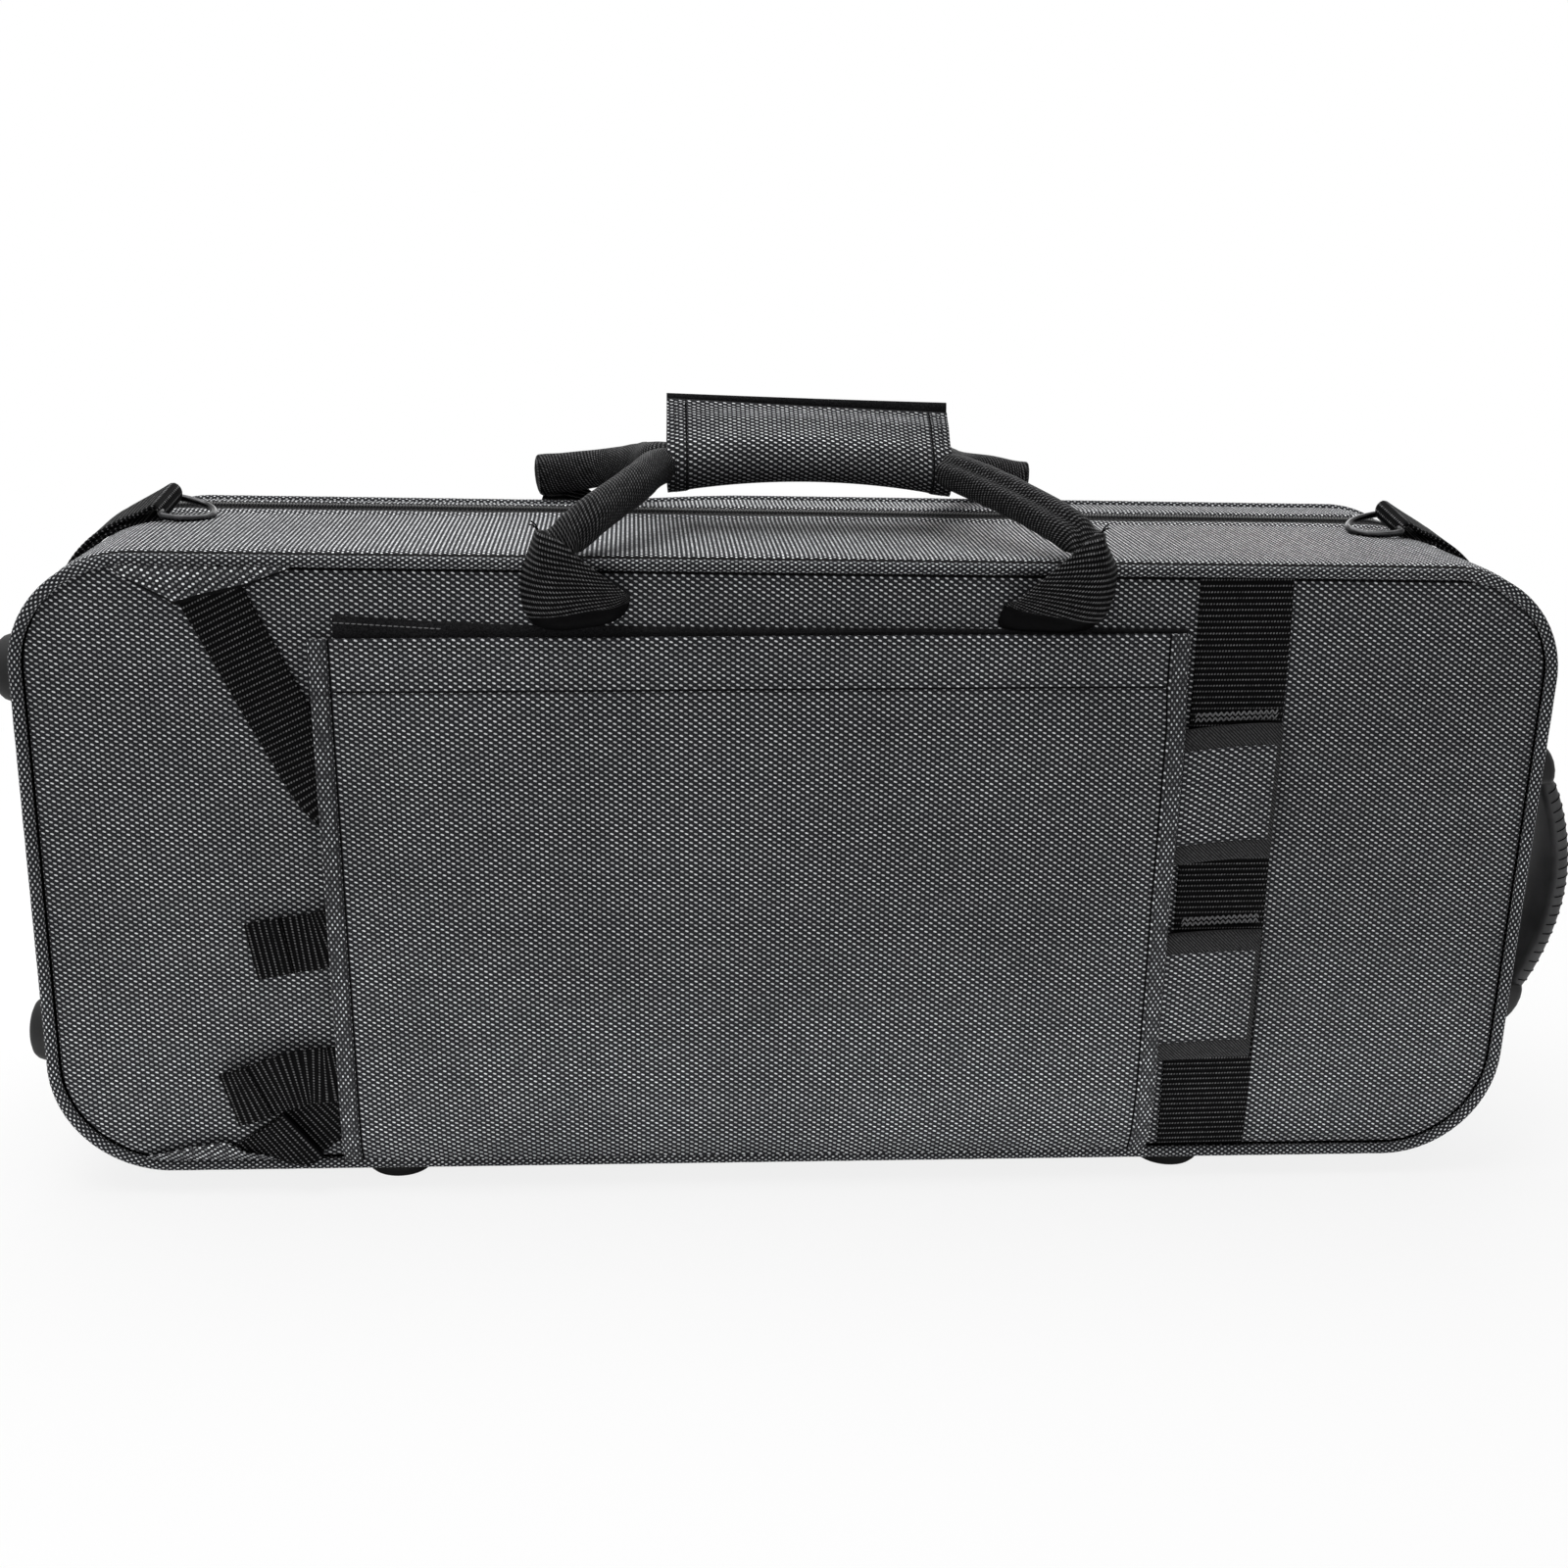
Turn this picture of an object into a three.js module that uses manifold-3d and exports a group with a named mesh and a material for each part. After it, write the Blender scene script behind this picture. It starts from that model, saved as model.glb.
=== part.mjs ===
// Tenor saxophone case, soft covered, standing upright on its bottom feet.
// Millimetres, +X along the length, +Y from the strap side to the lid side, +Z up.
// The pieces are laid out from the case's own corner: x = 0 in the middle of the length,
// y = 0 on the strap side's face and z = 0 at the lowest line of the piping.
// The last lines move the whole case so that its origin is the middle of its floor area.

import * as THREE from 'three';
import { mergeVertices } from 'three/addons/utils/BufferGeometryUtils.js';
import Module from 'manifold-3d';

const wasm = await Module();
wasm.setup();

// Overall size
const caseLength = 800;
const caseHeight = 341;
const caseDepth = 200;
const cornerRadius = 62;
const partingDepth = 145;

// Clearances
const seatGap = 0.3;
const swingGap = 0.5;

// Shell walls and the skin that covers them
const skinInset = 1.5;
const wallThickness = 12;
const pipingDiameter = 5.4;
const pipingProud = 1.5;

// Zip
const tapeWidth = 14;
const tapeThickness = 1.7;
const tapeSink = 0.3;
const coilWidth = 2.8;
const coilProud = 0.9;
const hingeSetback = 38;

// Zip sliders and pulls
const sliderLength = 15;
const sliderWidth = 10;
const sliderNoseWidth = 6.5;
const sliderThickness = 3;
const sliderMeetingHeight = 176;
const earThickness = 1.2;
const earReach = 2.4;
const earLength = 5;
const earSetback = 4.5;
const crownPinRadius = 0.9;
const crownPinGap = 0.25;
const pullWidth = 4.2;
const pullKnuckleRadius = 2;
const pullLength = 20;
const pullPlateWidth = 7;
const pullThickness = 1.4;
const pullRoot = 4;

// Padding inside
const insertSetback = 5;
const insertFloor = 8;
const lidPadThickness = 11;
const tubeRecessBackWidth = 78;
const tubeRecessMargin = 26;
const tubeRecessLift = 30.5;
const bellRecessLength = 271;
const bellRecessMouth = 172;
const bellRecessThroat = 96;
const bellRecessDrop = 31.5;
const pocketMargin = 24;
const pocketHeight = 92;
const neckPocketLength = 200;
const mouthpiecePocketLength = 110;
const pocketFloor = 62;
const pocketRounding = 12;

// Rubber feet
const footRadius = 22;
const footHeight = 14;
const footFlatRadius = 9;
const footSkirtHeight = 3.5;
const footShoulderRadius = 18;
const footShoulderHeight = 10.5;
const footEndMargin = 181;
const footEdge = 0.8;
const footBackGap = 4;
const endFootEdge = 67;

// Strap cover panel
const coverLeft = -249;
const coverRight = 199;
const coverBottom = 1;
const coverTopMargin = 42;
const coverThickness = 3;
const coverPocket = 8.9;
const coverHemRadius = 3;
const coverRise = 34;
const coverTopRun = 16;
const coverPadMargin = 3;
const hookStripLeftMargin = 9;
const hookStripRightMargin = 2;
const hookStripHidden = 13;
const hookStripShown = 11;
const hookThickness = 1.7;
const loopStripHeight = 12;
const loopStripMargin = 8;

// Webbing on the strap side
const webbingThickness = 1.6;
const wideWebbing = 50;
const narrowWebbing = 32;
const wideWebbingLead = 6;
const wideWebbingMargin = 8;

// Padded shoulder straps, stowed behind the cover
const padWidth = 76;
const padThickness = 6;
const padEdgeThickness = 3;
const padEndMargin = 3;
const padLeft = -150;
const padBendStart = 150;
const padLift = 8;
const upperPadDrop = 89;
const lowerPadRise = 92;
const adjusterLength = 38;
const adjusterHeight = 42;
const adjusterThickness = 5;
const adjusterSlot = 6;
const adjusterRim = 4;

// Corner patches and the strap webbing that they hold
const patchThickness = 1.5;
const patchHalfSpan = 45;
const patchDrop = 19;
const patchShift = 31;
const patchBreak = 11;
const upperWebbingDrop = 15;
const upperWebbingShift = 4;
const upperWebbingBendX = -244;
const upperWebbingBendRise = 1;
const lowerWebbingShift = 11;
const lowerWebbingStartZ = 14;
const lowerWebbingBendX = -246;
const lowerWebbingBendDrop = 49;
const upperTailEnd = -290;
const upperTailEndDrop = 80;
const upperTailBendX = -240;
const upperTailBendDrop = 73;
const lowerTailEnd = -306;
const lowerTailEndDrop = 46;
const lowerTailBendX = -236;
const lowerTailBendDrop = 29;
const tailLead = 22;

// Carrying handles
const handleMiddle = 3;
const handleHalfSpan = 125;
const hingeReach = 7;
const hingeRise = 4;
const ropeRadius = 8.8;
const rootHalfThickness = 6.2;
const rootHalfWidth = 11.5;
const ropeKneeX = 20;
const ropeKneeRise = 4;
const ropeLead = 8;
const ropeDrift = 3.5;
const gripHalfLength = 75;
const gripStrandRise = 31;
const gripTopRise = 68;
const gripArch = 7;
const gripWall = 2.6;
const gripLift = 1.6;
const gripTopHalfWidth = 3;
const gripShoulderDegrees = 50;
const anchorDrop = 30.2;
const anchorBaseThickness = 3;
const anchorTopWidth = 24;
const anchorTopThickness = 13;
const anchorBulge = 2.5;

// Rings for a shoulder strap
const ringWire = 3.2;
const ringBar = 32;
const ringReach = 24;
const ringCorner = 3;
const ringBarLead = 3;
const ringBarRise = 8;
const ringShift = 8;
const tabWidth = 25;
const tabThickness = 3;
const tabEyeWall = 2;
const tabEyeGap = 0.5;
const tabEndDegrees = 152;
const tabStartDegrees = 97;
const tabWebDegrees = 60;

// End handle
const endHandleDepth = 42;
const endHandleWidth = 36;
const endHandleMiddle = 154;
const endHandleHalfLength = 83;
const endHandleRise = 36;
const endHandleThickness = 11;
const endCapLength = 30;
const endCapHeight = 15;
const endCapNose = 7;
const endCapSide = 2;
const rivetRadius = 5;
const rivetHeight = 2;

// Shares of a length
const entryShare = 0.8;
const quarterShare = 0.4;
const kneeShare = 1 / 3;
const rootShare = 0.22;
const ropeTipShare = 0.5;
const mitreLimitShare = 0.5;
const padCrownShare = 1 / 3;
const tabWebShare = 1 / 3;

// Facet counts
const cornerSegments = 10;
const roundSides = 12;
const pipingSides = 8;
const footSides = 20;
const ropeSteps = 30;
const tabWebSegments = 2;
const anchorLevels = 4;
const gripStations = 8;
const bowSteps = 12;

// Places worked out from the sizes above
const tapeRecess = tapeSink + tapeThickness + seatGap;
const pipingNotch = pipingDiameter + seatGap;
const cavityInset = skinInset + wallThickness;
const liningInset = cavityInset + seatGap;
const halfLength = caseLength / 2;
const cornerX = halfLength - cornerRadius;
const upperCornerZ = caseHeight - cornerRadius;
const hingeHalfLength = cornerX - hingeSetback;
const insertDepth = partingDepth - insertSetback;
const tubeRecessHeight = cavityInset + tubeRecessLift + bellRecessThroat / 2;
const bellRecessHeight = caseHeight - cavityInset - bellRecessDrop - bellRecessMouth / 2;
const footSide = halfLength - footEndMargin;
const footFront = pipingNotch - pipingProud + footEdge + footRadius;
const footBack = partingDepth - tapeWidth - footBackGap - footRadius;
const coverTop = caseHeight - coverTopMargin;
const wideWebbingMiddle = coverRight + wideWebbingLead + wideWebbing / 2;
const padRight = wideWebbingMiddle + wideWebbing / 2 - padEndMargin;
const upperPadMiddle = coverTop - upperPadDrop;
const lowerPadMiddle = coverBottom + lowerPadRise;
const coverBulgeTop = upperPadMiddle + padWidth / 2 + padLift + coverPadMargin;
const patchMiddle = patchShift - cornerX;
const hingeHeight = caseHeight + hingeRise;
const gripStrandHeight = caseHeight + gripStrandRise;
const gripTop = caseHeight + gripTopRise;
const gripDepth = caseDepth / 2;
const ringBarX = cornerX + ringBarLead;
const ringBarZ = caseHeight + ringBarRise;
const ringDepth = gripDepth + ringShift;

const model = new THREE.Group();

const finishes = {
  fabric: { color: 0x4b4c4f, roughness: 0.85, metalness: 0 },
  webbing: { color: 0x161617, roughness: 0.8, metalness: 0 },
  binding: { color: 0x101011, roughness: 0.9, metalness: 0 },
  foam: { color: 0x1d1d20, roughness: 0.95, metalness: 0 },
  rubber: { color: 0x141415, roughness: 0.5, metalness: 0 },
  plastic: { color: 0x101011, roughness: 0.45, metalness: 0 },
  leather: { color: 0x1b1b1c, roughness: 0.55, metalness: 0 },
  wire: { color: 0x2b2b2d, roughness: 0.3, metalness: 0.9 },
};

function addPiece(name, geometry, finish) {
  const mesh = new THREE.Mesh(geometry, new THREE.MeshStandardMaterial(finishes[finish]));
  mesh.name = name;
  model.add(mesh);
}

// Solids from rings, outlines and cuts

function signedVolume(positions, index) {
  const corners = [new THREE.Vector3(), new THREE.Vector3(), new THREE.Vector3()];
  let total = 0;
  for (let face = 0; face < index.length; face += 3) {
    corners.forEach((corner, k) => corner.fromArray(positions, 3 * index[face + k]));
    total += corners[0].dot(corners[1].cross(corners[2]));
  }
  return total / 6;
}

// Joins a row of rings that have the same number of points. The outline is the flat
// shape of a ring, and closes both ends unless the row of rings is itself a loop.
function loft(rings, outline, isLoop = false) {
  const count = outline.length;
  const index = [];
  const spans = isLoop ? rings.length : rings.length - 1;
  for (let ring = 0; ring < spans; ring++) {
    const here = ring * count;
    const next = ((ring + 1) % rings.length) * count;
    for (let k = 0; k < count; k++) {
      const beside = (k + 1) % count;
      index.push(here + k, here + beside, next + beside);
      index.push(here + k, next + beside, next + k);
    }
  }
  if (!isLoop) {
    const last = (rings.length - 1) * count;
    const isClockwise = THREE.ShapeUtils.isClockWise(outline);
    for (const face of THREE.ShapeUtils.triangulateShape(outline, [])) {
      const [a, b, c] = isClockwise ? [face[0], face[2], face[1]] : face;
      index.push(c, b, a);
      index.push(last + a, last + b, last + c);
    }
  }
  const positions = rings.flat().flatMap((point) => point.toArray());
  if (signedVolume(positions, index) < 0) {
    index.reverse();
  }
  const geometry = new THREE.BufferGeometry();
  geometry.setAttribute('position', new THREE.Float32BufferAttribute(positions, 3));
  geometry.setIndex(index);
  return geometry;
}

function toSolid(geometry) {
  const plain = geometry.clone();
  plain.deleteAttribute('normal');
  plain.deleteAttribute('uv');
  const merged = mergeVertices(plain);
  const vertProperties = new Float32Array(merged.attributes.position.array);
  const triVerts = new Uint32Array(merged.index.array);
  return new wasm.Manifold(new wasm.Mesh({ numProp: 3, vertProperties, triVerts }));
}

function toGeometry(solid) {
  const mesh = solid.getMesh();
  const geometry = new THREE.BufferGeometry();
  geometry.setAttribute('position', new THREE.BufferAttribute(mesh.vertProperties, 3));
  geometry.setIndex(new THREE.BufferAttribute(mesh.triVerts, 1));
  return geometry;
}

function joined(...geometries) {
  return toGeometry(geometries.map(toSolid).reduce((whole, piece) => whole.add(piece)));
}

function cutBy(geometry, ...cutters) {
  return toGeometry(cutters.map(toSolid).reduce((rest, cutter) => rest.subtract(cutter), toSolid(geometry)));
}

// An outline drawn in x and z, made solid between two depths
function plateXZ(outline, nearY, farY) {
  const geometry = new THREE.ExtrudeGeometry(new THREE.Shape(outline), {
    depth: farY - nearY,
    bevelEnabled: false,
    curveSegments: cornerSegments,
  });
  return geometry.rotateX(Math.PI / 2).translate(0, farY, 0);
}

// An outline drawn in y and z, made solid between two places along the length
function plateYZ(outline, nearX, farX) {
  const rings = [nearX, farX].map((x) => outline.map((point) => new THREE.Vector3(x, point.x, point.y)));
  return loft(rings, outline);
}

function boxBetween(low, high) {
  const size = high.map((value, k) => value - low[k]);
  const middle = high.map((value, k) => (value + low[k]) / 2);
  return new THREE.BoxGeometry(...size).translate(...middle);
}

// A rod along the depth, so its round face turns about a line in y
function rodAlongY(radius, x, z, nearY, farY) {
  const rod = new THREE.CylinderGeometry(radius, radius, farY - nearY, roundSides);
  return rod.translate(x, (nearY + farY) / 2, z);
}

function arcPoints(centreX, centreZ, radius, startDegrees, endDegrees, segments = cornerSegments) {
  const points = [];
  for (let k = 0; k <= segments; k++) {
    const angle = THREE.MathUtils.degToRad(startDegrees + ((endDegrees - startDegrees) * k) / segments);
    points.push(new THREE.Vector2(centreX + radius * Math.cos(angle), centreZ + radius * Math.sin(angle)));
  }
  return points;
}

// The case's outline seen from the strap side, drawn in by an inset
function caseOutline(inset) {
  const radius = cornerRadius - inset;
  return [
    ...arcPoints(cornerX, cornerRadius, radius, -90, 0),
    ...arcPoints(cornerX, upperCornerZ, radius, 0, 90),
    ...arcPoints(-cornerX, upperCornerZ, radius, 90, 180),
    ...arcPoints(-cornerX, cornerRadius, radius, 180, 270),
  ];
}

function caseRing(depth, inset) {
  return caseOutline(inset).map((point) => new THREE.Vector3(point.x, depth, point.y));
}

function caseLoft(stations) {
  return loft(stations.map(([depth, inset]) => caseRing(depth, inset)), caseOutline(0));
}

// A ribbon round the case that leaves the hinge's length free at the bottom
function openBand(outerInset, innerInset, nearY, farY) {
  const run = (inset) => [
    new THREE.Vector2(hingeHalfLength, inset),
    ...caseOutline(inset),
    new THREE.Vector2(-hingeHalfLength, inset),
  ];
  return plateXZ([...run(outerInset), ...run(innerInset).reverse()], nearY, farY);
}

// A flat strip along a chosen line, mitred at its bends
function stripOutline(line, width) {
  const sides = line.map((point, k) => {
    const before = line[Math.max(k - 1, 0)];
    const after = line[Math.min(k + 1, line.length - 1)];
    const arrive = point.clone().sub(before).normalize();
    const leave = after.clone().sub(point).normalize();
    const heading = arrive.clone().add(leave).normalize();
    const stretch = 1 / Math.max(heading.dot(k ? arrive : leave), mitreLimitShare);
    const side = new THREE.Vector2(-heading.y, heading.x).multiplyScalar((width / 2) * stretch);
    return [point.clone().add(side), point.clone().sub(side)];
  });
  return [...sides.map(([left]) => left), ...sides.map(([, right]) => right).reverse()];
}

function ellipseOutline(halfWidth, halfHeight, sides = roundSides) {
  return Array.from({ length: sides }, (unused, k) => {
    const angle = (2 * Math.PI * k) / sides;
    return new THREE.Vector2(halfWidth * Math.cos(angle), halfHeight * Math.sin(angle));
  });
}

// Shells, piping and zip

function addShells() {
  const nearParting = partingDepth - seatGap / 2;
  const farParting = partingDepth + seatGap / 2;
  const notchDepth = pipingNotch - pipingProud;
  const tapeInset = skinInset + tapeRecess;
  addPiece('base_shell', caseLoft([
    [0, pipingNotch],
    [notchDepth, pipingNotch],
    [notchDepth, skinInset],
    [partingDepth - tapeWidth, skinInset],
    [partingDepth - tapeWidth, tapeInset],
    [nearParting, tapeInset],
    [nearParting, cavityInset],
    [wallThickness, cavityInset],
  ]), 'fabric');
  addPiece('lid_shell', caseLoft([
    [caseDepth, pipingNotch],
    [caseDepth - notchDepth, pipingNotch],
    [caseDepth - notchDepth, skinInset],
    [partingDepth + tapeWidth, skinInset],
    [partingDepth + tapeWidth, tapeInset],
    [farParting, tapeInset],
    [farParting, cavityInset],
    [caseDepth - wallThickness, cavityInset],
  ]), 'fabric');
}

function addPiping(name, middleY) {
  const radius = pipingDiameter / 2;
  const section = ellipseOutline(radius, radius, pipingSides);
  const rings = section.map((point) => caseRing(middleY + point.x, radius - point.y));
  addPiece(name, loft(rings, caseOutline(0), true), 'fabric');
}

function addZip() {
  const outer = skinInset + tapeSink;
  const inner = outer + tapeThickness;
  const nearCoil = partingDepth - seatGap / 2 - coilWidth;
  const farCoil = partingDepth + seatGap / 2 + coilWidth;
  const nearTape = partingDepth - tapeWidth + seatGap;
  const farTape = partingDepth + tapeWidth - seatGap;
  addPiece('base_zip_tape', openBand(outer, inner, nearTape, nearCoil - seatGap), 'webbing');
  addPiece('lid_zip_tape', openBand(outer, inner, farCoil + seatGap, farTape), 'webbing');
  const coilCrown = skinInset - coilProud;
  addPiece('base_zip_coil', openBand(coilCrown, inner, nearCoil, nearCoil + coilWidth), 'plastic');
  addPiece('lid_zip_coil', openBand(coilCrown, inner, farCoil - coilWidth, farCoil), 'plastic');
  const hingeEnd = hingeHalfLength - seatGap;
  addPiece('hinge_strip_base', boxBetween(
    [-hingeEnd, nearTape, outer],
    [hingeEnd, partingDepth - seatGap / 2, inner],
  ), 'fabric');
  addPiece('hinge_strip_lid', boxBetween(
    [-hingeEnd, partingDepth + seatGap / 2, outer],
    [hingeEnd, farTape, inner],
  ), 'fabric');
}

// A slider rides on the coils at the right end, its nose towards the other slider and the
// ears of its pull at its tail
function addSlider(name, noseDirection) {
  const seatX = halfLength - skinInset + coilProud + seatGap;
  const topX = seatX + sliderThickness;
  const middleZ = sliderMeetingHeight - noseDirection * (sliderLength / 2 + seatGap / 2);
  const half = sliderLength / 2;
  const outline = [
    [-sliderWidth / 2, -half],
    [sliderWidth / 2, -half],
    [sliderWidth / 2, 0],
    [sliderNoseWidth / 2, half],
    [-sliderNoseWidth / 2, half],
    [-sliderWidth / 2, 0],
  ].map(([y, z]) => new THREE.Vector2(partingDepth + y, middleZ + noseDirection * z));
  const pinX = topX + earReach;
  const pinZ = middleZ - noseDirection * earSetback;
  const earInner = pullWidth / 2 + seatGap;
  const earOuter = earInner + earThickness;
  const ear = (side) => boxBetween(
    [topX - earThickness, partingDepth + Math.min(side * earInner, side * earOuter), pinZ - earLength / 2],
    [pinX + earThickness, partingDepth + Math.max(side * earInner, side * earOuter), pinZ + earLength / 2],
  );
  const pin = rodAlongY(
    crownPinRadius,
    pinX,
    pinZ,
    partingDepth - earInner - earThickness / 2,
    partingDepth + earInner + earThickness / 2,
  );
  addPiece(`${name}_slider`, joined(plateYZ(outline, seatX, topX), ear(-1), ear(1), pin), 'wire');

  const nearY = partingDepth - pullWidth / 2;
  const farY = partingDepth + pullWidth / 2;
  const knuckle = rodAlongY(pullKnuckleRadius, 0, 0, nearY, farY);
  const neck = boxBetween(
    [-pullThickness / 2, nearY, -pullRoot - pullThickness],
    [pullThickness / 2, farY, 0],
  );
  const plate = boxBetween(
    [-pullThickness / 2, partingDepth - pullPlateWidth / 2, -pullLength],
    [pullThickness / 2, partingDepth + pullPlateWidth / 2, -pullRoot],
  );
  const bore = rodAlongY(crownPinRadius + crownPinGap, 0, 0, nearY - seatGap, farY + seatGap);
  const pull = cutBy(joined(knuckle, neck, plate), bore).translate(pinX, 0, pinZ);
  addPiece(`${name}_pull`, pull, 'wire');
}

// Padding inside

function roundedBlock(left, right, bottom, top, rounding, nearY, farY) {
  const outline = [
    ...arcPoints(right - rounding, bottom + rounding, rounding, -90, 0, pipingSides / 2),
    ...arcPoints(right - rounding, top - rounding, rounding, 0, 90, pipingSides / 2),
    ...arcPoints(left + rounding, top - rounding, rounding, 90, 180, pipingSides / 2),
    ...arcPoints(left + rounding, bottom + rounding, rounding, 180, 270, pipingSides / 2),
  ];
  return plateXZ(outline, nearY, farY);
}

function addPadding() {
  const floorY = wallThickness + seatGap + insertFloor;
  const openY = insertDepth + insertFloor;
  const left = -halfLength + cavityInset + tubeRecessMargin;
  const right = halfLength - cavityInset - tubeRecessMargin;
  const throatRadius = bellRecessThroat / 2;
  const backRadius = tubeRecessBackWidth / 2;
  const bowRadius = (bellRecessHeight - tubeRecessHeight) / 2 + throatRadius;
  const bowX = right - bowRadius;
  const tube = plateXZ([
    ...arcPoints(bowX, tubeRecessHeight, throatRadius, -90, 90),
    ...arcPoints(left + backRadius, tubeRecessHeight, backRadius, 90, 270),
  ], floorY, openY);
  const mouthX = bowX - bellRecessLength;
  const bell = plateXZ([
    ...arcPoints(bowX, (bellRecessHeight + tubeRecessHeight) / 2, bowRadius, -90, 90),
    new THREE.Vector2(mouthX + bellRecessMouth, bellRecessHeight + throatRadius),
    new THREE.Vector2(mouthX, bellRecessHeight + bellRecessMouth / 2),
    new THREE.Vector2(mouthX, bellRecessHeight - bellRecessMouth / 2),
    new THREE.Vector2(mouthX + bellRecessMouth, bellRecessHeight - throatRadius),
  ], floorY, openY);
  const pocketTop = caseHeight - cavityInset - pocketMargin;
  const pocketBottom = pocketTop - pocketHeight;
  const neckRight = left + neckPocketLength;
  const neckPocket = roundedBlock(
    left + pocketMargin, neckRight, pocketBottom, pocketTop, pocketRounding, pocketFloor, openY);
  const mouthpieceLeft = neckRight + pocketMargin;
  const mouthpiecePocket = roundedBlock(
    mouthpieceLeft,
    mouthpieceLeft + mouthpiecePocketLength,
    pocketBottom,
    pocketTop,
    pocketRounding,
    pocketFloor,
    openY,
  );
  const block = caseLoft([[wallThickness + seatGap, liningInset], [insertDepth, liningInset]]);
  addPiece('base_insert', cutBy(block, tube, bell, neckPocket, mouthpiecePocket), 'foam');
  const lidFloor = caseDepth - wallThickness - seatGap;
  addPiece('lid_pad', caseLoft([
    [lidFloor - lidPadThickness, liningInset + lidPadThickness],
    [lidFloor - lidPadThickness / 2, liningInset],
    [lidFloor, liningInset],
  ]), 'foam');
}

// Feet, each a rubber dome with a flat crown

function footGeometry() {
  const profile = [
    new THREE.Vector2(0, 0),
    new THREE.Vector2(footRadius, 0),
    new THREE.Vector2(footRadius, footSkirtHeight),
    new THREE.Vector2(footShoulderRadius, footShoulderHeight),
    new THREE.Vector2(footFlatRadius, footHeight),
    new THREE.Vector2(0, footHeight),
  ];
  return new THREE.LatheGeometry(profile, footSides);
}

function addFeet() {
  const seat = skinInset - seatGap;
  for (const [side, x] of [['left', -footSide], ['right', footSide]]) {
    for (const [row, y] of [['front', footFront], ['back', footBack]]) {
      const foot = mergeVertices(footGeometry()).rotateX(-Math.PI / 2).translate(x, y, seat);
      addPiece(`bottom_foot_${row}_${side}`, foot, 'rubber');
    }
  }
  for (const [level, z] of [['low', endFootEdge], ['high', caseHeight - endFootEdge]]) {
    for (const [row, y] of [['front', footFront], ['back', footBack]]) {
      const foot = mergeVertices(footGeometry()).rotateZ(Math.PI / 2).translate(seat - halfLength, y, z);
      addPiece(`end_foot_${row}_${level}`, foot, 'rubber');
    }
  }
}

// Strap cover panel with its hook and loop closure

function addCover() {
  const seamY = -pipingProud - seatGap - coverHemRadius;
  const faceY = -coverPocket - coverThickness;
  const stripFaceY = -seatGap - hookThickness;
  const topInnerY = stripFaceY - seatGap - hookThickness - seatGap;
  const seam = new THREE.Vector2(seamY, coverBottom + coverHemRadius);
  const hemOutline = ellipseOutline(coverHemRadius, coverHemRadius).map((point) => point.add(seam));
  const hem = plateYZ(hemOutline, coverLeft, coverRight);
  const sheet = plateYZ([
    new THREE.Vector2(seamY, coverBottom),
    new THREE.Vector2(faceY, coverBottom + coverRise),
    new THREE.Vector2(faceY, coverBulgeTop),
    new THREE.Vector2(topInnerY - coverThickness, coverTop - coverTopRun),
    new THREE.Vector2(topInnerY - coverThickness, coverTop),
    new THREE.Vector2(topInnerY, coverTop),
    new THREE.Vector2(topInnerY, coverTop - coverTopRun),
    new THREE.Vector2(-coverPocket, coverBulgeTop),
    new THREE.Vector2(-coverPocket, coverBottom + coverRise + coverThickness / 2),
    seam,
  ], coverLeft, coverRight);
  addPiece('strap_cover', joined(hem, sheet), 'fabric');
  addPiece('hook_strip', boxBetween(
    [coverLeft + hookStripLeftMargin, stripFaceY, coverTop - hookStripHidden],
    [coverRight - hookStripRightMargin, -seatGap, coverTop + hookStripShown],
  ), 'binding');
  addPiece('loop_strip', boxBetween(
    [coverLeft + loopStripMargin, topInnerY + seatGap, coverTop - loopStripHeight],
    [coverRight - loopStripMargin, topInnerY + seatGap + hookThickness, coverTop],
  ), 'binding');
}

// Stowed backpack straps and their webbing

function addPad(name, middleZ) {
  const crownHalf = padWidth * padCrownShare;
  const section = [
    [-padWidth / 2, 0],
    [-padWidth / 2, padEdgeThickness],
    [-crownHalf, padThickness],
    [crownHalf, padThickness],
    [padWidth / 2, padEdgeThickness],
    [padWidth / 2, 0],
  ].map(([z, y]) => new THREE.Vector2(z, y));
  const seatY = -seatGap - webbingThickness - seatGap;
  const lift = (x) => padLift * THREE.MathUtils.smoothstep(x, padBendStart, padRight);
  const bendLength = padRight - padBendStart;
  const places = [padLeft, padBendStart, padBendStart + bendLength / 3, padRight - bendLength / 3, padRight];
  const rings = places.map((x) => section.map((point) => (
    new THREE.Vector3(x, seatY - point.y, middleZ + lift(x) + point.x)
  )));
  addPiece(name, loft(rings, section), 'fabric');
}

function addAdjuster(name, middleZ) {
  const right = padLeft - seatGap;
  const left = right - adjusterLength;
  const farY = -seatGap - webbingThickness - seatGap;
  const nearY = farY - adjusterThickness;
  const body = boxBetween(
    [left, nearY, middleZ - adjusterHeight / 2],
    [right, farY, middleZ + adjusterHeight / 2],
  );
  const slotHalf = adjusterHeight / 2 - adjusterRim;
  const slot = (slotLeft) => boxBetween(
    [slotLeft, nearY - seatGap, middleZ - slotHalf],
    [slotLeft + adjusterSlot, farY + seatGap, middleZ + slotHalf],
  );
  const slotPlaces = [left + adjusterRim, left + adjusterLength / 2, right - adjusterRim - adjusterSlot];
  addPiece(name, cutBy(body, ...slotPlaces.map(slot)), 'plastic');
}

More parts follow.
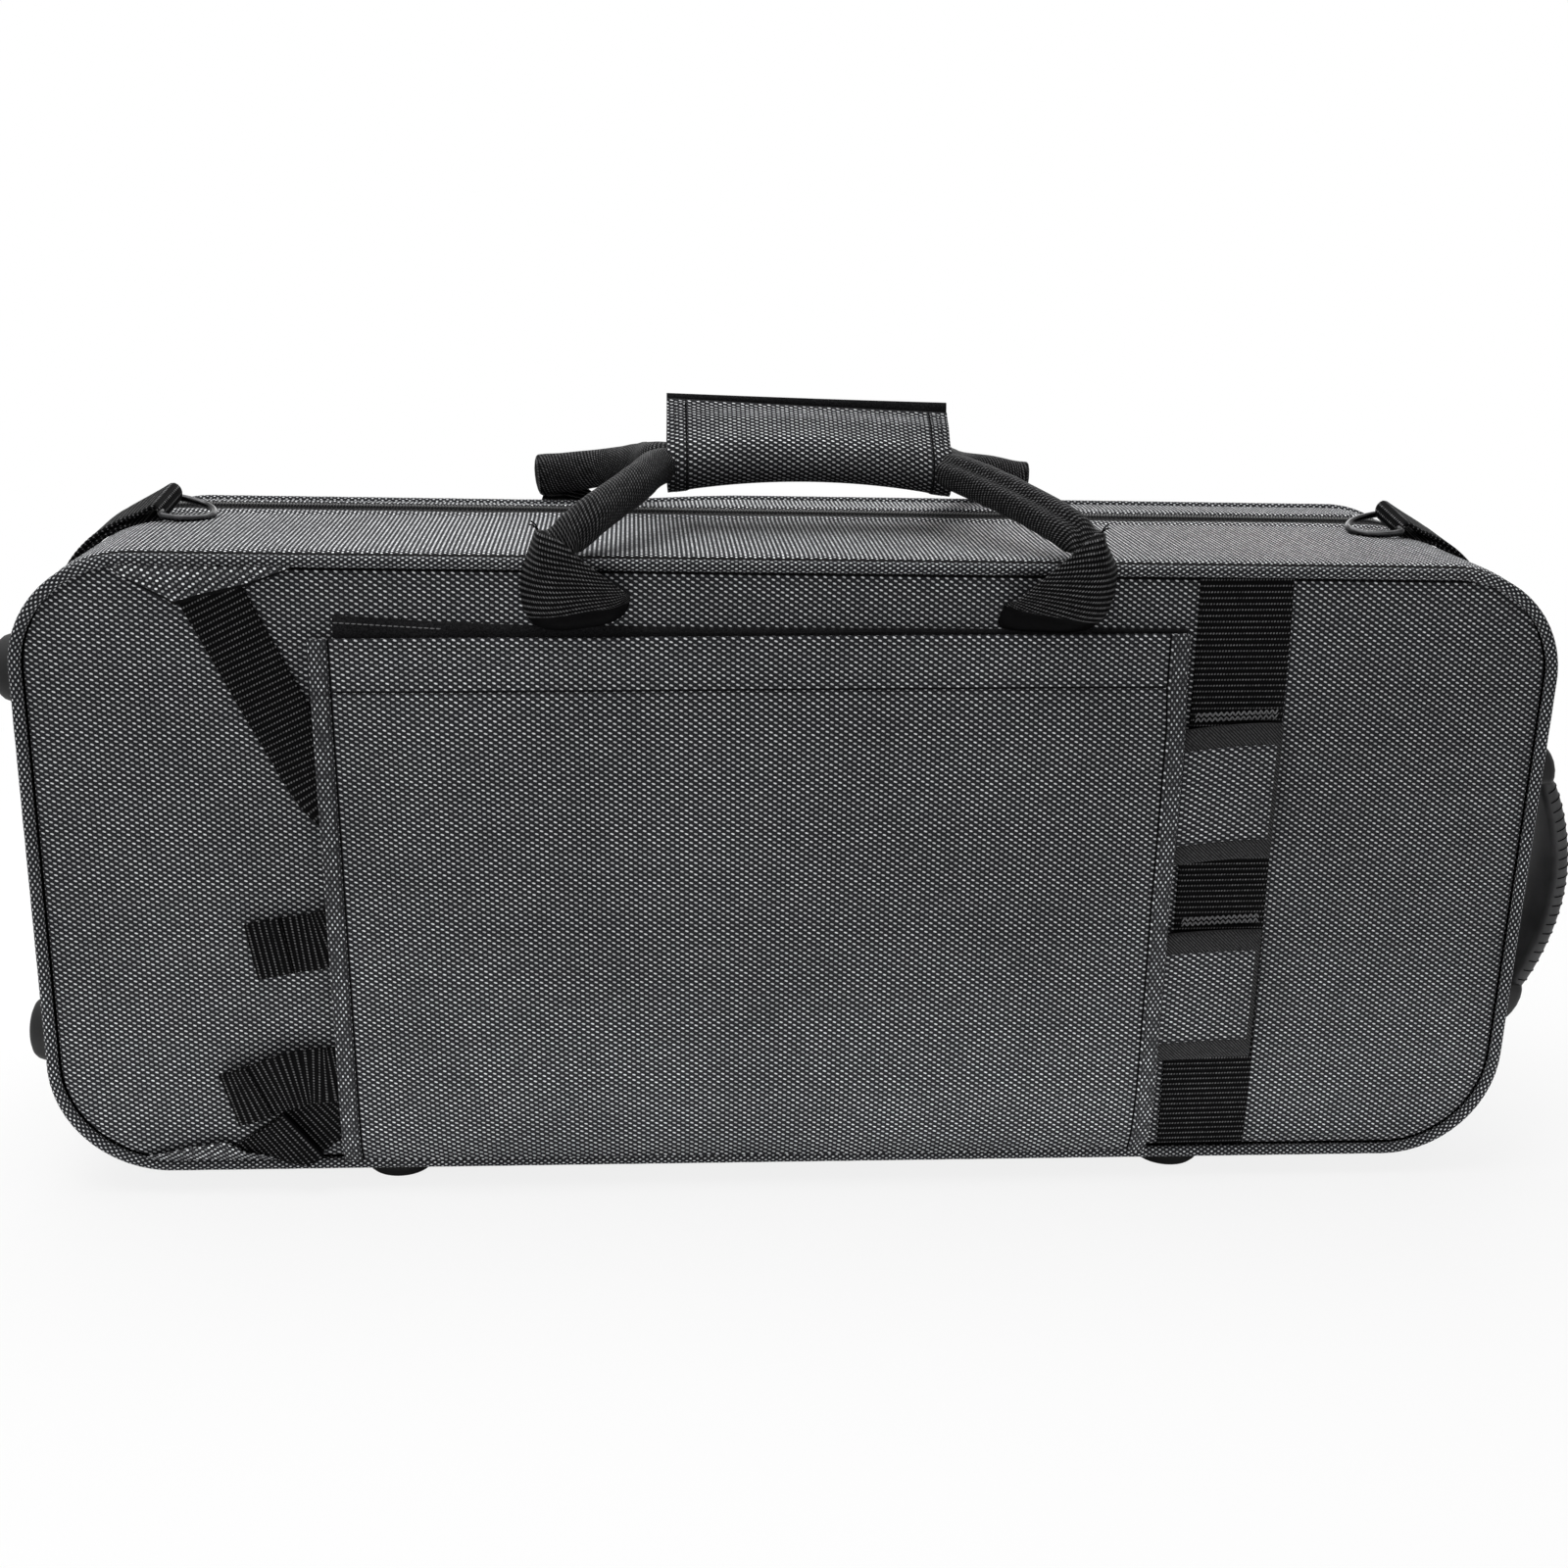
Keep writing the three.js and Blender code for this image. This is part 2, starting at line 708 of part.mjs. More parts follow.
function addWebbing() {
  const nearLayer = [-seatGap - webbingThickness, -seatGap];
  const farLayer = nearLayer.map((y) => y - webbingThickness - seatGap);
  const patchLayer = [nearLayer[0] - seatGap - patchThickness, nearLayer[0] - seatGap];
  const point = (x, z) => new THREE.Vector2(x, z);
  addPiece('wide_webbing', boxBetween(
    [wideWebbingMiddle - wideWebbing / 2, nearLayer[0], wideWebbingMargin],
    [wideWebbingMiddle + wideWebbing / 2, nearLayer[1], caseHeight - wideWebbingMargin],
  ), 'webbing');
  const adjusterLeft = padLeft - seatGap - adjusterLength;
  addPiece('upper_strap_webbing', plateXZ(stripOutline([
    point(patchMiddle + upperWebbingShift, caseHeight - upperWebbingDrop),
    point(upperWebbingBendX, upperPadMiddle + upperWebbingBendRise),
    point(adjusterLeft + adjusterRim, upperPadMiddle),
  ], narrowWebbing), ...nearLayer), 'webbing');
  addPiece('lower_strap_webbing', plateXZ(stripOutline([
    point(patchMiddle + lowerWebbingShift, lowerWebbingStartZ + narrowWebbing / 2),
    point(lowerWebbingBendX, lowerPadMiddle - lowerWebbingBendDrop),
    point(adjusterLeft + adjusterRim, lowerPadMiddle),
  ], narrowWebbing), ...nearLayer), 'webbing');
  addPiece('upper_strap_tail', plateXZ(stripOutline([
    point(upperTailEnd, upperPadMiddle - upperTailEndDrop),
    point(upperTailBendX, upperPadMiddle - upperTailBendDrop),
    point(adjusterLeft - tailLead, upperPadMiddle),
    point(adjusterLeft - seatGap, upperPadMiddle),
  ], narrowWebbing), ...farLayer), 'webbing');
  addPiece('lower_strap_tail', plateXZ(stripOutline([
    point(lowerTailEnd, lowerPadMiddle - lowerTailEndDrop),
    point(lowerTailBendX, lowerPadMiddle - lowerTailBendDrop),
    point(adjusterLeft - tailLead, lowerPadMiddle),
    point(adjusterLeft - seatGap, lowerPadMiddle),
  ], narrowWebbing), ...farLayer), 'webbing');
  const edgeZ = pipingNotch + seatGap;
  const patch = (seamZ, inward) => [
    point(patchMiddle - patchHalfSpan, seamZ),
    point(patchMiddle - patchBreak, seamZ + inward * patchDrop),
    point(patchMiddle + patchHalfSpan, seamZ),
  ];
  addPiece('upper_patch', plateXZ(patch(caseHeight - edgeZ, -1), ...patchLayer), 'fabric');
  addPiece('lower_patch', plateXZ(patch(edgeZ, 1), ...patchLayer), 'fabric');
}

// Carrying handles. The two sides are mirror images across the middle of the depth.

function mirrorDepth(y, isFront) {
  return isFront ? y : caseDepth - y;
}

// The rope's centre line runs from one sewn end, in through the grip, to the other
function ropeLine(isFront) {
  const strandY = gripDepth - ropeRadius - swingGap;
  const place = (x, y, z) => new THREE.Vector3(handleMiddle + x, mirrorDepth(y, isFront), z);
  const arched = (share) => gripStrandHeight + gripArch * (1 - share ** 2);
  const legs = (side) => [
    place(side * handleHalfSpan, -hingeReach, hingeHeight),
    place(
      side * (handleHalfSpan - ropeKneeX),
      THREE.MathUtils.lerp(-hingeReach, strandY, kneeShare),
      THREE.MathUtils.lerp(hingeHeight, gripStrandHeight, kneeShare) + ropeKneeRise,
    ),
    place(side * (gripHalfLength + ropeLead), strandY - ropeDrift, gripStrandHeight - swingGap),
    place(side * gripHalfLength * entryShare, strandY, arched(entryShare)),
    place(side * gripHalfLength * quarterShare, strandY, arched(quarterShare)),
  ];
  return new THREE.CatmullRomCurve3([...legs(-1), place(0, strandY, arched(0)), ...legs(1).reverse()]);
}

// At its sewn ends the rope lies square to the length, so that it can swing there
function addRope(name, isFront) {
  const line = ropeLine(isFront);
  const section = ellipseOutline(1, 1);
  const rings = [];
  const up = new THREE.Vector3(0, 0, 1);
  for (let step = -1; step <= ropeSteps + 1; step++) {
    const share = THREE.MathUtils.clamp(step / ropeSteps, 0, 1);
    const heading = line.getTangentAt(share);
    const fromEnd = Math.min(share, 1 - share);
    const roundness = THREE.MathUtils.smoothstep(fromEnd, 0, rootShare);
    const square = new THREE.Vector3().crossVectors(heading, up).normalize();
    const side = new THREE.Vector3(Math.sign(heading.y), 0, 0).lerp(square, roundness).normalize();
    const rise = new THREE.Vector3().crossVectors(side, heading).normalize();
    const isTip = step < 0 || step > ropeSteps;
    const shrink = isTip ? ropeTipShare : 1;
    const halfWidth = shrink * THREE.MathUtils.lerp(rootHalfWidth, ropeRadius, roundness);
    const halfThickness = shrink * THREE.MathUtils.lerp(rootHalfThickness, ropeRadius, roundness);
    const overrun = isTip ? Math.sign(step) * rootHalfThickness * Math.sqrt(1 - ropeTipShare ** 2) : 0;
    const middle = line.getPointAt(share).addScaledVector(heading, overrun);
    rings.push(section.map((point) => (
      middle.clone().addScaledVector(side, halfWidth * point.x).addScaledVector(rise, halfThickness * point.y)
    )));
  }
  addPiece(name, loft(rings, section), 'webbing');
}

// The webbing opens from the rope to its flat sewn end
function addAnchor(name, isFront, side) {
  const middleX = handleMiddle + side * handleHalfSpan;
  const topZ = hingeHeight - rootHalfThickness - swingGap;
  const section = ellipseOutline(1, 1);
  const rings = [];
  for (let level = 0; level <= anchorLevels; level++) {
    const share = level / anchorLevels;
    const halfWidth = THREE.MathUtils.lerp(wideWebbing, anchorTopWidth, share ** 2) / 2;
    const thickness = THREE.MathUtils.lerp(anchorBaseThickness, anchorTopThickness, share)
      + anchorBulge * Math.sin(Math.PI * share);
    const z = THREE.MathUtils.lerp(caseHeight - anchorDrop, topZ, share);
    rings.push(section.map((point) => new THREE.Vector3(
      middleX + halfWidth * point.x,
      mirrorDepth(-seatGap - pipingProud * share - (thickness / 2) * (1 + point.y), isFront),
      z,
    )));
  }
  addPiece(name, loft(rings, section), 'webbing');
}

// One half of the padded wrap round both ropes: it rises from the fold under the ropes
// to the closure along the top
function addWrapHalf(name, isFront) {
  const ropeAcross = ropeRadius + swingGap;
  const liningRadius = ropeRadius + gripLift;
  const skinRadius = liningRadius + gripWall;
  const bottom = gripStrandHeight - skinRadius;
  const height = gripTop - bottom;
  const skin = arcPoints(ropeAcross, skinRadius, skinRadius, -90, gripShoulderDegrees, pipingSides);
  const lining = arcPoints(ropeAcross, skinRadius, liningRadius, -90, gripShoulderDegrees, pipingSides);
  const section = [
    new THREE.Vector2(seatGap / 2, 0),
    ...skin,
    new THREE.Vector2(gripTopHalfWidth, height),
    new THREE.Vector2(seatGap / 2, height),
    ...lining.reverse(),
    new THREE.Vector2(seatGap / 2, gripWall),
  ];
  const rings = [];
  for (let station = 0; station <= gripStations; station++) {
    const along = (2 * station) / gripStations - 1;
    const arch = gripArch * (1 - along ** 2);
    rings.push(section.map((point) => new THREE.Vector3(
      handleMiddle + gripHalfLength * along,
      mirrorDepth(gripDepth - point.x, isFront),
      bottom + point.y + arch * (1 - (point.y / height) ** 2),
    )));
  }
  addPiece(name, loft(rings, section), 'fabric');
}

function addHandles() {
  for (const [place, isFront] of [['front', true], ['rear', false]]) {
    addRope(`${place}_handle_webbing`, isFront);
    addAnchor(`${place}_handle_end_left`, isFront, -1);
    addAnchor(`${place}_handle_end_right`, isFront, 1);
  }
  addWrapHalf('grip_wrap', true);
  addWrapHalf('grip_flap', false);
}

// Rings for a shoulder strap, each in a webbing tab sewn over an upper corner

function addRing(side, word) {
  const wire = ringWire / 2;
  const restZ = caseHeight - skinInset + wire + seatGap;
  const slope = Math.asin((ringBarZ - restZ) / ringReach);
  const arch = Array.from({ length: cornerSegments + 1 }, (unused, k) => {
    const angle = Math.PI * (k / cornerSegments - 1 / 2);
    return [ringCorner + (ringReach - ringCorner) * Math.cos(angle), (ringBar / 2) * Math.sin(angle)];
  });
  const line = [
    [0, ringBar / 2 - ringCorner],
    [0, ringCorner - ringBar / 2],
    [ringCorner / 3, (ringCorner / 3) - ringBar / 2],
    ...arch,
    [ringCorner / 3, ringBar / 2 - ringCorner / 3],
  ];
  const sides = pipingSides;
  const rings = line.map(([reach, along], k) => {
    const before = line[(k + line.length - 1) % line.length];
    const after = line[(k + 1) % line.length];
    const heading = new THREE.Vector2(after[0] - before[0], after[1] - before[1]).normalize();
    return ellipseOutline(wire, wire, sides).map((point) => {
      const out = reach + heading.y * point.x;
      const depth = ringDepth + along - heading.x * point.x;
      const inward = out * Math.cos(slope) - point.y * Math.sin(slope);
      const drop = out * Math.sin(slope) + point.y * Math.cos(slope);
      return new THREE.Vector3(side * (ringBarX - inward), depth, ringBarZ - drop);
    });
  });
  addPiece(`d_ring_${word}`, loft(rings, ellipseOutline(wire, wire, sides), true), 'wire');

  const eyeInner = wire + tabEyeGap;
  const eyeOuter = eyeInner + tabEyeWall;
  const nearY = ringDepth - tabWidth / 2;
  const farY = ringDepth + tabWidth / 2;
  const seatRadius = cornerRadius - skinInset + seatGap;
  const start = side > 0 ? 180 - tabStartDegrees : tabStartDegrees;
  const end = side > 0 ? 180 - tabEndDegrees : tabEndDegrees;
  const cornerMiddle = side * cornerX;
  const under = arcPoints(cornerMiddle, upperCornerZ, seatRadius, start, end, pipingSides);
  const over = arcPoints(cornerMiddle, upperCornerZ, seatRadius + tabThickness, end, start, pipingSides);
  const band = plateXZ([...under, ...over], nearY, farY);
  const eye = rodAlongY(eyeOuter, side * ringBarX, ringBarZ, nearY, farY);
  const webEnd = THREE.MathUtils.lerp(start, end, tabWebShare);
  const crown = THREE.MathUtils.degToRad(tabWebDegrees);
  const web = plateXZ([
    ...arcPoints(cornerMiddle, upperCornerZ, seatRadius + tabThickness / 2, webEnd, start, tabWebSegments),
    new THREE.Vector2(side * ringBarX, ringBarZ - eyeOuter + tabEyeGap),
    new THREE.Vector2(
      side * (ringBarX + eyeOuter * Math.cos(crown)),
      ringBarZ + (eyeOuter - tabEyeGap) * Math.sin(crown),
    ),
  ], nearY, farY);
  const bore = rodAlongY(eyeInner, side * ringBarX, ringBarZ, nearY - seatGap, farY + seatGap);
  addPiece(`d_ring_tab_${word}`, cutBy(joined(band, eye, web), bore), 'webbing');
}

// End handle: a stitched bow between two moulded ends

function addEndHandle() {
  const faceX = halfLength - skinInset + seatGap;
  const low = endHandleMiddle - endHandleHalfLength;
  const high = endHandleMiddle + endHandleHalfLength;
  const halfWidth = endHandleWidth / 2 + endCapSide;
  const cap = (outerZ, inward) => plateXZ([
    new THREE.Vector2(faceX, outerZ),
    new THREE.Vector2(faceX + endCapNose, outerZ),
    new THREE.Vector2(faceX + endCapHeight, outerZ + inward * endCapNose),
    new THREE.Vector2(faceX + endCapHeight, outerZ + inward * endCapLength),
    new THREE.Vector2(faceX, outerZ + inward * endCapLength),
  ], endHandleDepth - halfWidth, endHandleDepth + halfWidth);
  addPiece('end_handle_cap_low', cap(low, 1), 'plastic');
  addPiece('end_handle_cap_high', cap(high, -1), 'plastic');
  const rivetProfile = [
    new THREE.Vector2(0, 0),
    new THREE.Vector2(rivetRadius, 0),
    new THREE.Vector2(rivetRadius * Math.SQRT1_2, rivetHeight),
    new THREE.Vector2(0, rivetHeight),
  ];
  const rivet = (z) => mergeVertices(new THREE.LatheGeometry(rivetProfile, roundSides))
    .rotateZ(-Math.PI / 2)
    .translate(faceX + endCapHeight + seatGap, endHandleDepth, z);
  addPiece('end_handle_rivet_low', rivet(low + endCapLength / 2 + endCapNose / 2), 'wire');
  addPiece('end_handle_rivet_high', rivet(high - endCapLength / 2 - endCapNose / 2), 'wire');
  const span = endHandleHalfLength - endCapLength - seatGap;
  const half = endHandleThickness / 2;
  const wide = endHandleWidth / 2;
  const section = [
    [-wide, -half / 2],
    [-wide + half / 2, -half],
    [wide - half / 2, -half],
    [wide, -half / 2],
    [wide, half / 2],
    [wide - half / 2, half],
    [-wide + half / 2, half],
    [-wide, half / 2],
  ].map(([across, out]) => new THREE.Vector2(across, out));
  const startX = faceX + endCapHeight - half;
  const rings = [];
  for (let step = 0; step <= bowSteps; step++) {
    const along = (2 * step) / bowSteps - 1;
    const bowX = startX + (endHandleRise - endCapHeight) * Math.cos((Math.PI / 2) * along);
    rings.push(section.map((point) => new THREE.Vector3(
      bowX + point.y,
      endHandleDepth + point.x,
      endHandleMiddle + span * along,
    )));
  }
  addPiece('end_handle_bow', loft(rings, section), 'leather');
}

addShells();
addPiping('front_piping', pipingDiameter / 2 - pipingProud);
addPiping('lid_piping', caseDepth - pipingDiameter / 2 + pipingProud);
addZip();
addSlider('upper', -1);
addSlider('lower', 1);
addPadding();
addFeet();
addCover();
addPad('upper_shoulder_strap', upperPadMiddle);
addPad('lower_shoulder_strap', lowerPadMiddle);
addAdjuster('upper_adjuster', upperPadMiddle);
addAdjuster('lower_adjuster', lowerPadMiddle);
addWebbing();
addHandles();
addRing(-1, 'left');
addRing(1, 'right');
addEndHandle();

// The origin goes to the middle of the floor area, level with the feet
const reach = new THREE.Box3().setFromObject(model);
const middle = reach.getCenter(new THREE.Vector3());
model.position.set(-middle.x, -middle.y, -reach.min.z);
const saxophoneCase = new THREE.Group();
saxophoneCase.add(model);
saxophoneCase.updateMatrixWorld(true);

export default saxophoneCase;
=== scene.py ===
import math

import bmesh
import bpy
import numpy as np
from mathutils import Matrix, Vector


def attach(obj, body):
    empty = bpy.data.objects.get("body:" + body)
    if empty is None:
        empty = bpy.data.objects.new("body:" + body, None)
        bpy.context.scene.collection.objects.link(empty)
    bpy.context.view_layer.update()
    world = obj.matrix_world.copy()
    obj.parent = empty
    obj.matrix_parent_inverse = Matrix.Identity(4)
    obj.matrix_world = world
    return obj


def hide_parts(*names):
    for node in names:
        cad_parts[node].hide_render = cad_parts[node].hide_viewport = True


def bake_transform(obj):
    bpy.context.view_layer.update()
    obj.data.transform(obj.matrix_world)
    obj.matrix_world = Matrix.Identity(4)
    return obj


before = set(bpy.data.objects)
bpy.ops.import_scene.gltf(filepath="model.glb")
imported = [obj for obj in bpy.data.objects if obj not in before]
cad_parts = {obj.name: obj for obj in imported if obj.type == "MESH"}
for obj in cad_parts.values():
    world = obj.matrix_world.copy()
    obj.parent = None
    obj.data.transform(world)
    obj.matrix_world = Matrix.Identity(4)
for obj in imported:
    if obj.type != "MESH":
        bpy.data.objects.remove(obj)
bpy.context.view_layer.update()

# Lengths are in millimetres in the case's own frame: x to the right and y to the back from the
# middle of the front face, z up from its lower edge
SHIFT = np.array([-11.0, -100.0, 12.8])
METRE = 0.001
RIGHT, BACK, UP = np.eye(3)

HALF_LENGTH = 400.0
HEIGHT = 341.0
DEPTH = 200.0
CORNER = 62.0
PARTING = 145.0
PIPING_RADIUS = 2.7
CORD_RADIUS = 3.05
FACE_INSET = 7.0
HINGE_HALF = 300.0

FRAME_PIXELS = 1600
FOCAL_PIXELS = 1933
CAMERA_PLACE = (-92.0, -944.0, 514.0)
CAMERA_PITCH = 17.2
CAMERA_YAW = 4.9
CAMERA_ROLL = 1.57


def vec(*values):
    return np.array(values, float)


def unit(vectors):
    vectors = np.asarray(vectors, float)
    return vectors / np.maximum(np.linalg.norm(vectors, axis=-1, keepdims=True), 1e-12)


def lerp(a, b, t):
    return a + (b - a) * t


def smooth(t):
    t = np.clip(t, 0, 1)
    return t * t * (3 - 2 * t)


def hump(x, middle, width):
    return np.exp(-((x - middle) / width) ** 2)


def stacked(*parts):
    """Points or pairs from coordinates given as numbers or arrays."""
    return np.stack(np.broadcast_arrays(*parts), axis=-1).astype(float)


def direction(degrees):
    return stacked(np.cos(np.radians(degrees)), np.sin(np.radians(degrees)))


def full_turn(count):
    return math.tau * np.arange(count) / count


def mean_run(lines):
    """Running length along the first axis, averaged over the second."""
    steps = np.linalg.norm(np.diff(lines, axis=0), axis=2).mean(axis=1)
    return np.concatenate([[0], np.cumsum(steps)])


def running(line):
    return mean_run(np.asarray(line, float)[:, None])


def read_off(at, run, values):
    """Each column of the values, read at running lengths."""
    return stacked(*(np.interp(at, run, column) for column in np.asarray(values, float).T))


def placed(points):
    return (np.asarray(points, float) + SHIFT) * METRE


def add_object(name, data):
    added = bpy.data.objects.new(name, data)
    bpy.context.scene.collection.objects.link(added)
    return added


# Camera

def add_camera():
    data = bpy.data.cameras.new("camera")
    data.sensor_width = 36
    data.lens = data.sensor_width * FOCAL_PIXELS / FRAME_PIXELS
    data.clip_start = 0.05
    data.clip_end = 50
    pitch, yaw, roll = (math.radians(angle) for angle in (CAMERA_PITCH, CAMERA_YAW, CAMERA_ROLL))
    forward = Vector((math.sin(yaw) * math.cos(pitch), math.cos(yaw) * math.cos(pitch), -math.sin(pitch)))
    level = Vector((math.cos(yaw), -math.sin(yaw), 0))
    upright = level.cross(forward)
    right = math.cos(roll) * level + math.sin(roll) * upright
    top = math.cos(roll) * upright - math.sin(roll) * level
    turned = Matrix((right, top, -forward)).transposed().to_4x4()
    camera = add_object("camera", data)
    camera.matrix_world = Matrix.Translation(Vector(placed(CAMERA_PLACE))) @ turned
    bpy.context.scene.camera = camera


add_camera()
bpy.context.scene.view_settings.view_transform = "Standard"


# Materials

class Field:
    """A value in a node tree, with the sums that it can be written in."""

    def __init__(self, tree, socket):
        self.tree = tree
        self.socket = socket

    def math(self, operation, *others):
        return self.tree.field("Math", dict(enumerate((self, *others))), operation=operation)

    def __add__(self, other):
        return self.math("ADD", other)

    def __sub__(self, other):
        return self.math("SUBTRACT", other)

    def __mul__(self, other):
        return self.math("MULTIPLY", other)

    def __truediv__(self, other):
        return self.math("DIVIDE", other)

    def __mod__(self, other):
        return self.math("FLOORED_MODULO", other)

    def squared(self):
        return self.math("POWER", 2.0)

    def floor(self):
        return self.math("FLOOR")

    def wave(self, length):
        """A sine wave of the value, from -1 to 1."""
        return (self * (math.tau / length)).math("SINE")

    def ramp(self, low, high, out_low=0.0, out_high=1.0):
        fed = {"Value": self, "From Min": low, "From Max": high, "To Min": out_low, "To Max": out_high}
        return self.tree.field("MapRange", fed, interpolation_type="SMOOTHSTEP")

    def blend(self, first, second):
        """The first colour where the value is 0 and the second where it is 1."""
        return self.tree.field("Mix", {0: self, 6: first, 7: second}, output=2, data_type="RGBA")


class Tree:
    """The nodes of a material or of the world."""

    def __init__(self, owner):
        owner.use_nodes = True
        self.nodes = owner.node_tree.nodes
        self.links = owner.node_tree.links

    def feed(self, socket, value):
        if isinstance(value, Field):
            self.links.new(value.socket, socket)
        else:
            socket.default_value = tuple(value) if np.ndim(value) else float(value)

    def field(self, kind, fed=None, output=0, **settings):
        node = self.nodes.new("ShaderNode" + kind)
        for name, setting in settings.items():
            setattr(node, name, setting)
        for key, value in (fed or {}).items():
            self.feed(node.inputs[key], value)
        return Field(self, node.outputs[output])

    def scaled(self, colour, strength):
        return self.field("VectorMath", {0: colour, "Scale": strength}, operation="SCALE")

    def place(self):
        return self.field("TexCoord", output="Object")

    def noise(self, scale, detail=3.0, roughness=0.5):
        fed = {"Vector": self.place(), "Scale": scale, "Detail": detail, "Roughness": roughness}
        return self.field("TexNoise", fed)

    def speckle(self, column, row):
        """A chance value for each cell of a pattern."""
        where = self.field("CombineXYZ", {0: column, 1: row})
        return self.field("TexWhiteNoise", {"Vector": where}, output="Value", noise_dimensions="2D")


class Shader(Tree):
    """A material whose pattern follows the running lengths kept in the weave map, in millimetres."""

    def __init__(self, name, roughness, specular, sheen=0.0, sheen_roughness=0.4):
        self.material = bpy.data.materials.new(name)
        super().__init__(self.material)
        self.surface = self.nodes["Principled BSDF"].inputs
        for label, value in (("Roughness", roughness), ("Specular IOR Level", specular),
                             ("Sheen Weight", sheen), ("Sheen Roughness", sheen_roughness)):
            self.surface[label].default_value = value

    def lengths(self):
        source = self.field("UVMap", uv_map="weave")
        return [self.field("SeparateXYZ", {0: source}, output=k) for k in (0, 1)]

    def finish(self, colour, height, distance, strength, roughness=None):
        """Height is a share of the distance, which is in millimetres."""
        self.feed(self.surface["Base Color"], colour)
        if roughness:
            self.feed(self.surface["Roughness"], roughness)
        fed = {"Strength": strength, "Distance": distance * METRE, "Height": height}
        self.feed(self.surface["Normal"], self.field("Bump", fed))
        return self.material


def opaque(colour, strength=1.0):
    return (*(np.asarray(colour) * strength), 1.0)


def grey(value, blue):
    return vec(value, value, value + blue)


DASH_PITCH = 4.8
DASH_ROW = 1.6
FINE_YARN = 1.2


def woven(name, dark, pale, half_length=0.95, half_height=0.44, turn=18.0, uneven=(0.72, 1.15), painted_shade_below=None):
    """Two-tone ballistic cloth: pale dashes in staggered rows over dark yarns."""
    shader = Shader(name, roughness=0.75, specular=0.06)
    dark, pale = dark + vec(0, 0.0002, 0.0012), pale + vec(0, 0.01, 0.03)
    u, v = shader.lengths()
    rows = v / DASH_ROW
    row = rows.floor()
    along = u / DASH_PITCH + row % 2.0 * 0.5
    cell = along.floor()
    across = (rows - row - 0.5) * DASH_ROW
    aside = (along - cell - 0.5) * DASH_PITCH
    cosine, sine = direction(turn)
    lengthwise = aside * cosine - across * sine
    crosswise = across * cosine + aside * sine
    dash = ((lengthwise / half_length).squared() + (crosswise / half_height).squared()).ramp(1.5, 0.5)
    bright = shader.speckle(cell, row).ramp(0.0, 1.0, *uneven)
    yarn = u.wave(FINE_YARN) * v.wave(DASH_ROW) * 0.5 + 0.5
    under = yarn.blend(opaque(dark, 0.3), opaque(dark, 4.2))
    wear_and_shade = shader.noise(9.0, 4.0).ramp(0.25, 0.75, 0.88, 1.12)
    # When a lower band is given, the colour is darkened towards low running lengths: painted shade.
    if painted_shade_below:
        wear_and_shade = wear_and_shade * v.ramp(*painted_shade_below)
    colour = shader.scaled(dash.blend(under, shader.scaled(pale, bright)), wear_and_shade)
    return shader.finish(colour, dash * 0.8 + yarn * 0.25, 0.22, 0.7, dash * -0.2 + 0.8)


def ribbed(name, dark, pale, rib=3.1, yarn=1.6, lean=0.5, depth=0.5, stroke_half=(0.36, 0.36)):
    """Black webbing with ribs across its width, each rib a row of short pale strokes that are painted
    highlights on the yarn crowns.
    """
    shader = Shader(name, roughness=0.6, specular=0.035)
    u, v = shader.lengths()
    ribs = v / rib
    row = ribs.floor()
    inside = ribs - row - 0.5
    crown = (inside * 2.0).squared() * -1.0 + 1.0
    leaned = inside * lean + (u / yarn + row % 2.0 * 0.5)
    cell = leaned.floor()
    aside = leaned - cell - 0.5
    stroke = ((aside / stroke_half[0]).squared() + (inside / stroke_half[1]).squared()).ramp(1.4, 0.2)
    # The pale strokes on the rib crowns are painted highlights, the sheen of the black yarns.
    lit = stroke * shader.speckle(cell, row).ramp(0.0, 1.0, 0.5, 1.0)
    return shader.finish(lit.blend(opaque(dark), opaque(pale)), stroke * 0.45 + crown * 0.6, depth, 0.9)


def twilled(name, dark, pale, pitch=1.1, slant=0.6):
    """Fine tape with a diagonal twill line."""
    shader = Shader(name, roughness=0.75, specular=0.05)
    u, v = shader.lengths()
    twill = (u * slant + v).wave(pitch) * 0.5 + 0.5
    fuzz = shader.noise(900.0, 2.0)
    return shader.finish((twill * fuzz).blend(opaque(dark), opaque(pale)), fuzz * 0.5 + twill, 0.12, 0.7)


def furry(name, dark, pale, scale=1400.0, depth=0.5, sheen=0.5):
    """Pile or hook surface: dense, matt and slightly uneven."""
    shader = Shader(name, roughness=0.95, specular=0.06, sheen=sheen, sheen_roughness=0.35)
    fine = shader.noise(scale, 3.0, 0.7)
    mixed = fine.ramp(0.3, 0.75) * shader.noise(28.0).ramp(0.2, 0.8, 0.55, 1.0)
    return shader.finish(mixed.blend(opaque(dark), opaque(pale)), fine, depth, 0.8)


def moulded(name, tone, roughness, grain=0.05, scale=1200.0):
    """Moulded plastic or rubber with a fine spark-eroded grain and duller, paler worn places."""
    shader = Shader(name, roughness=roughness, specular=0.25)
    broad = shader.noise(45.0, 4.0)
    colour = broad.ramp(0.55, 0.8, 0.0, 0.25).blend(opaque(tone), opaque(tone * 2.4 + 0.01))
    return shader.finish(colour, shader.noise(scale, 2.0), grain, 0.6, broad * 0.22 + (roughness - 0.1))


def leathered(name, tone):
    """Smooth black leather with a small pebble grain."""
    shader = Shader(name, roughness=0.42, specular=0.3)
    fed = {"Vector": shader.place(), "Scale": 900.0}
    pebble = shader.field("TexVoronoi", fed, output="Distance", feature="DISTANCE_TO_EDGE").ramp(0.0, 0.25)
    broad = shader.noise(60.0, 4.0)
    colour = broad.ramp(0.3, 0.8).blend(opaque(tone), opaque(tone, 1.8))
    return shader.finish(colour, broad * 0.6 + pebble, 0.06, 0.5, broad * 0.25 + 0.33)


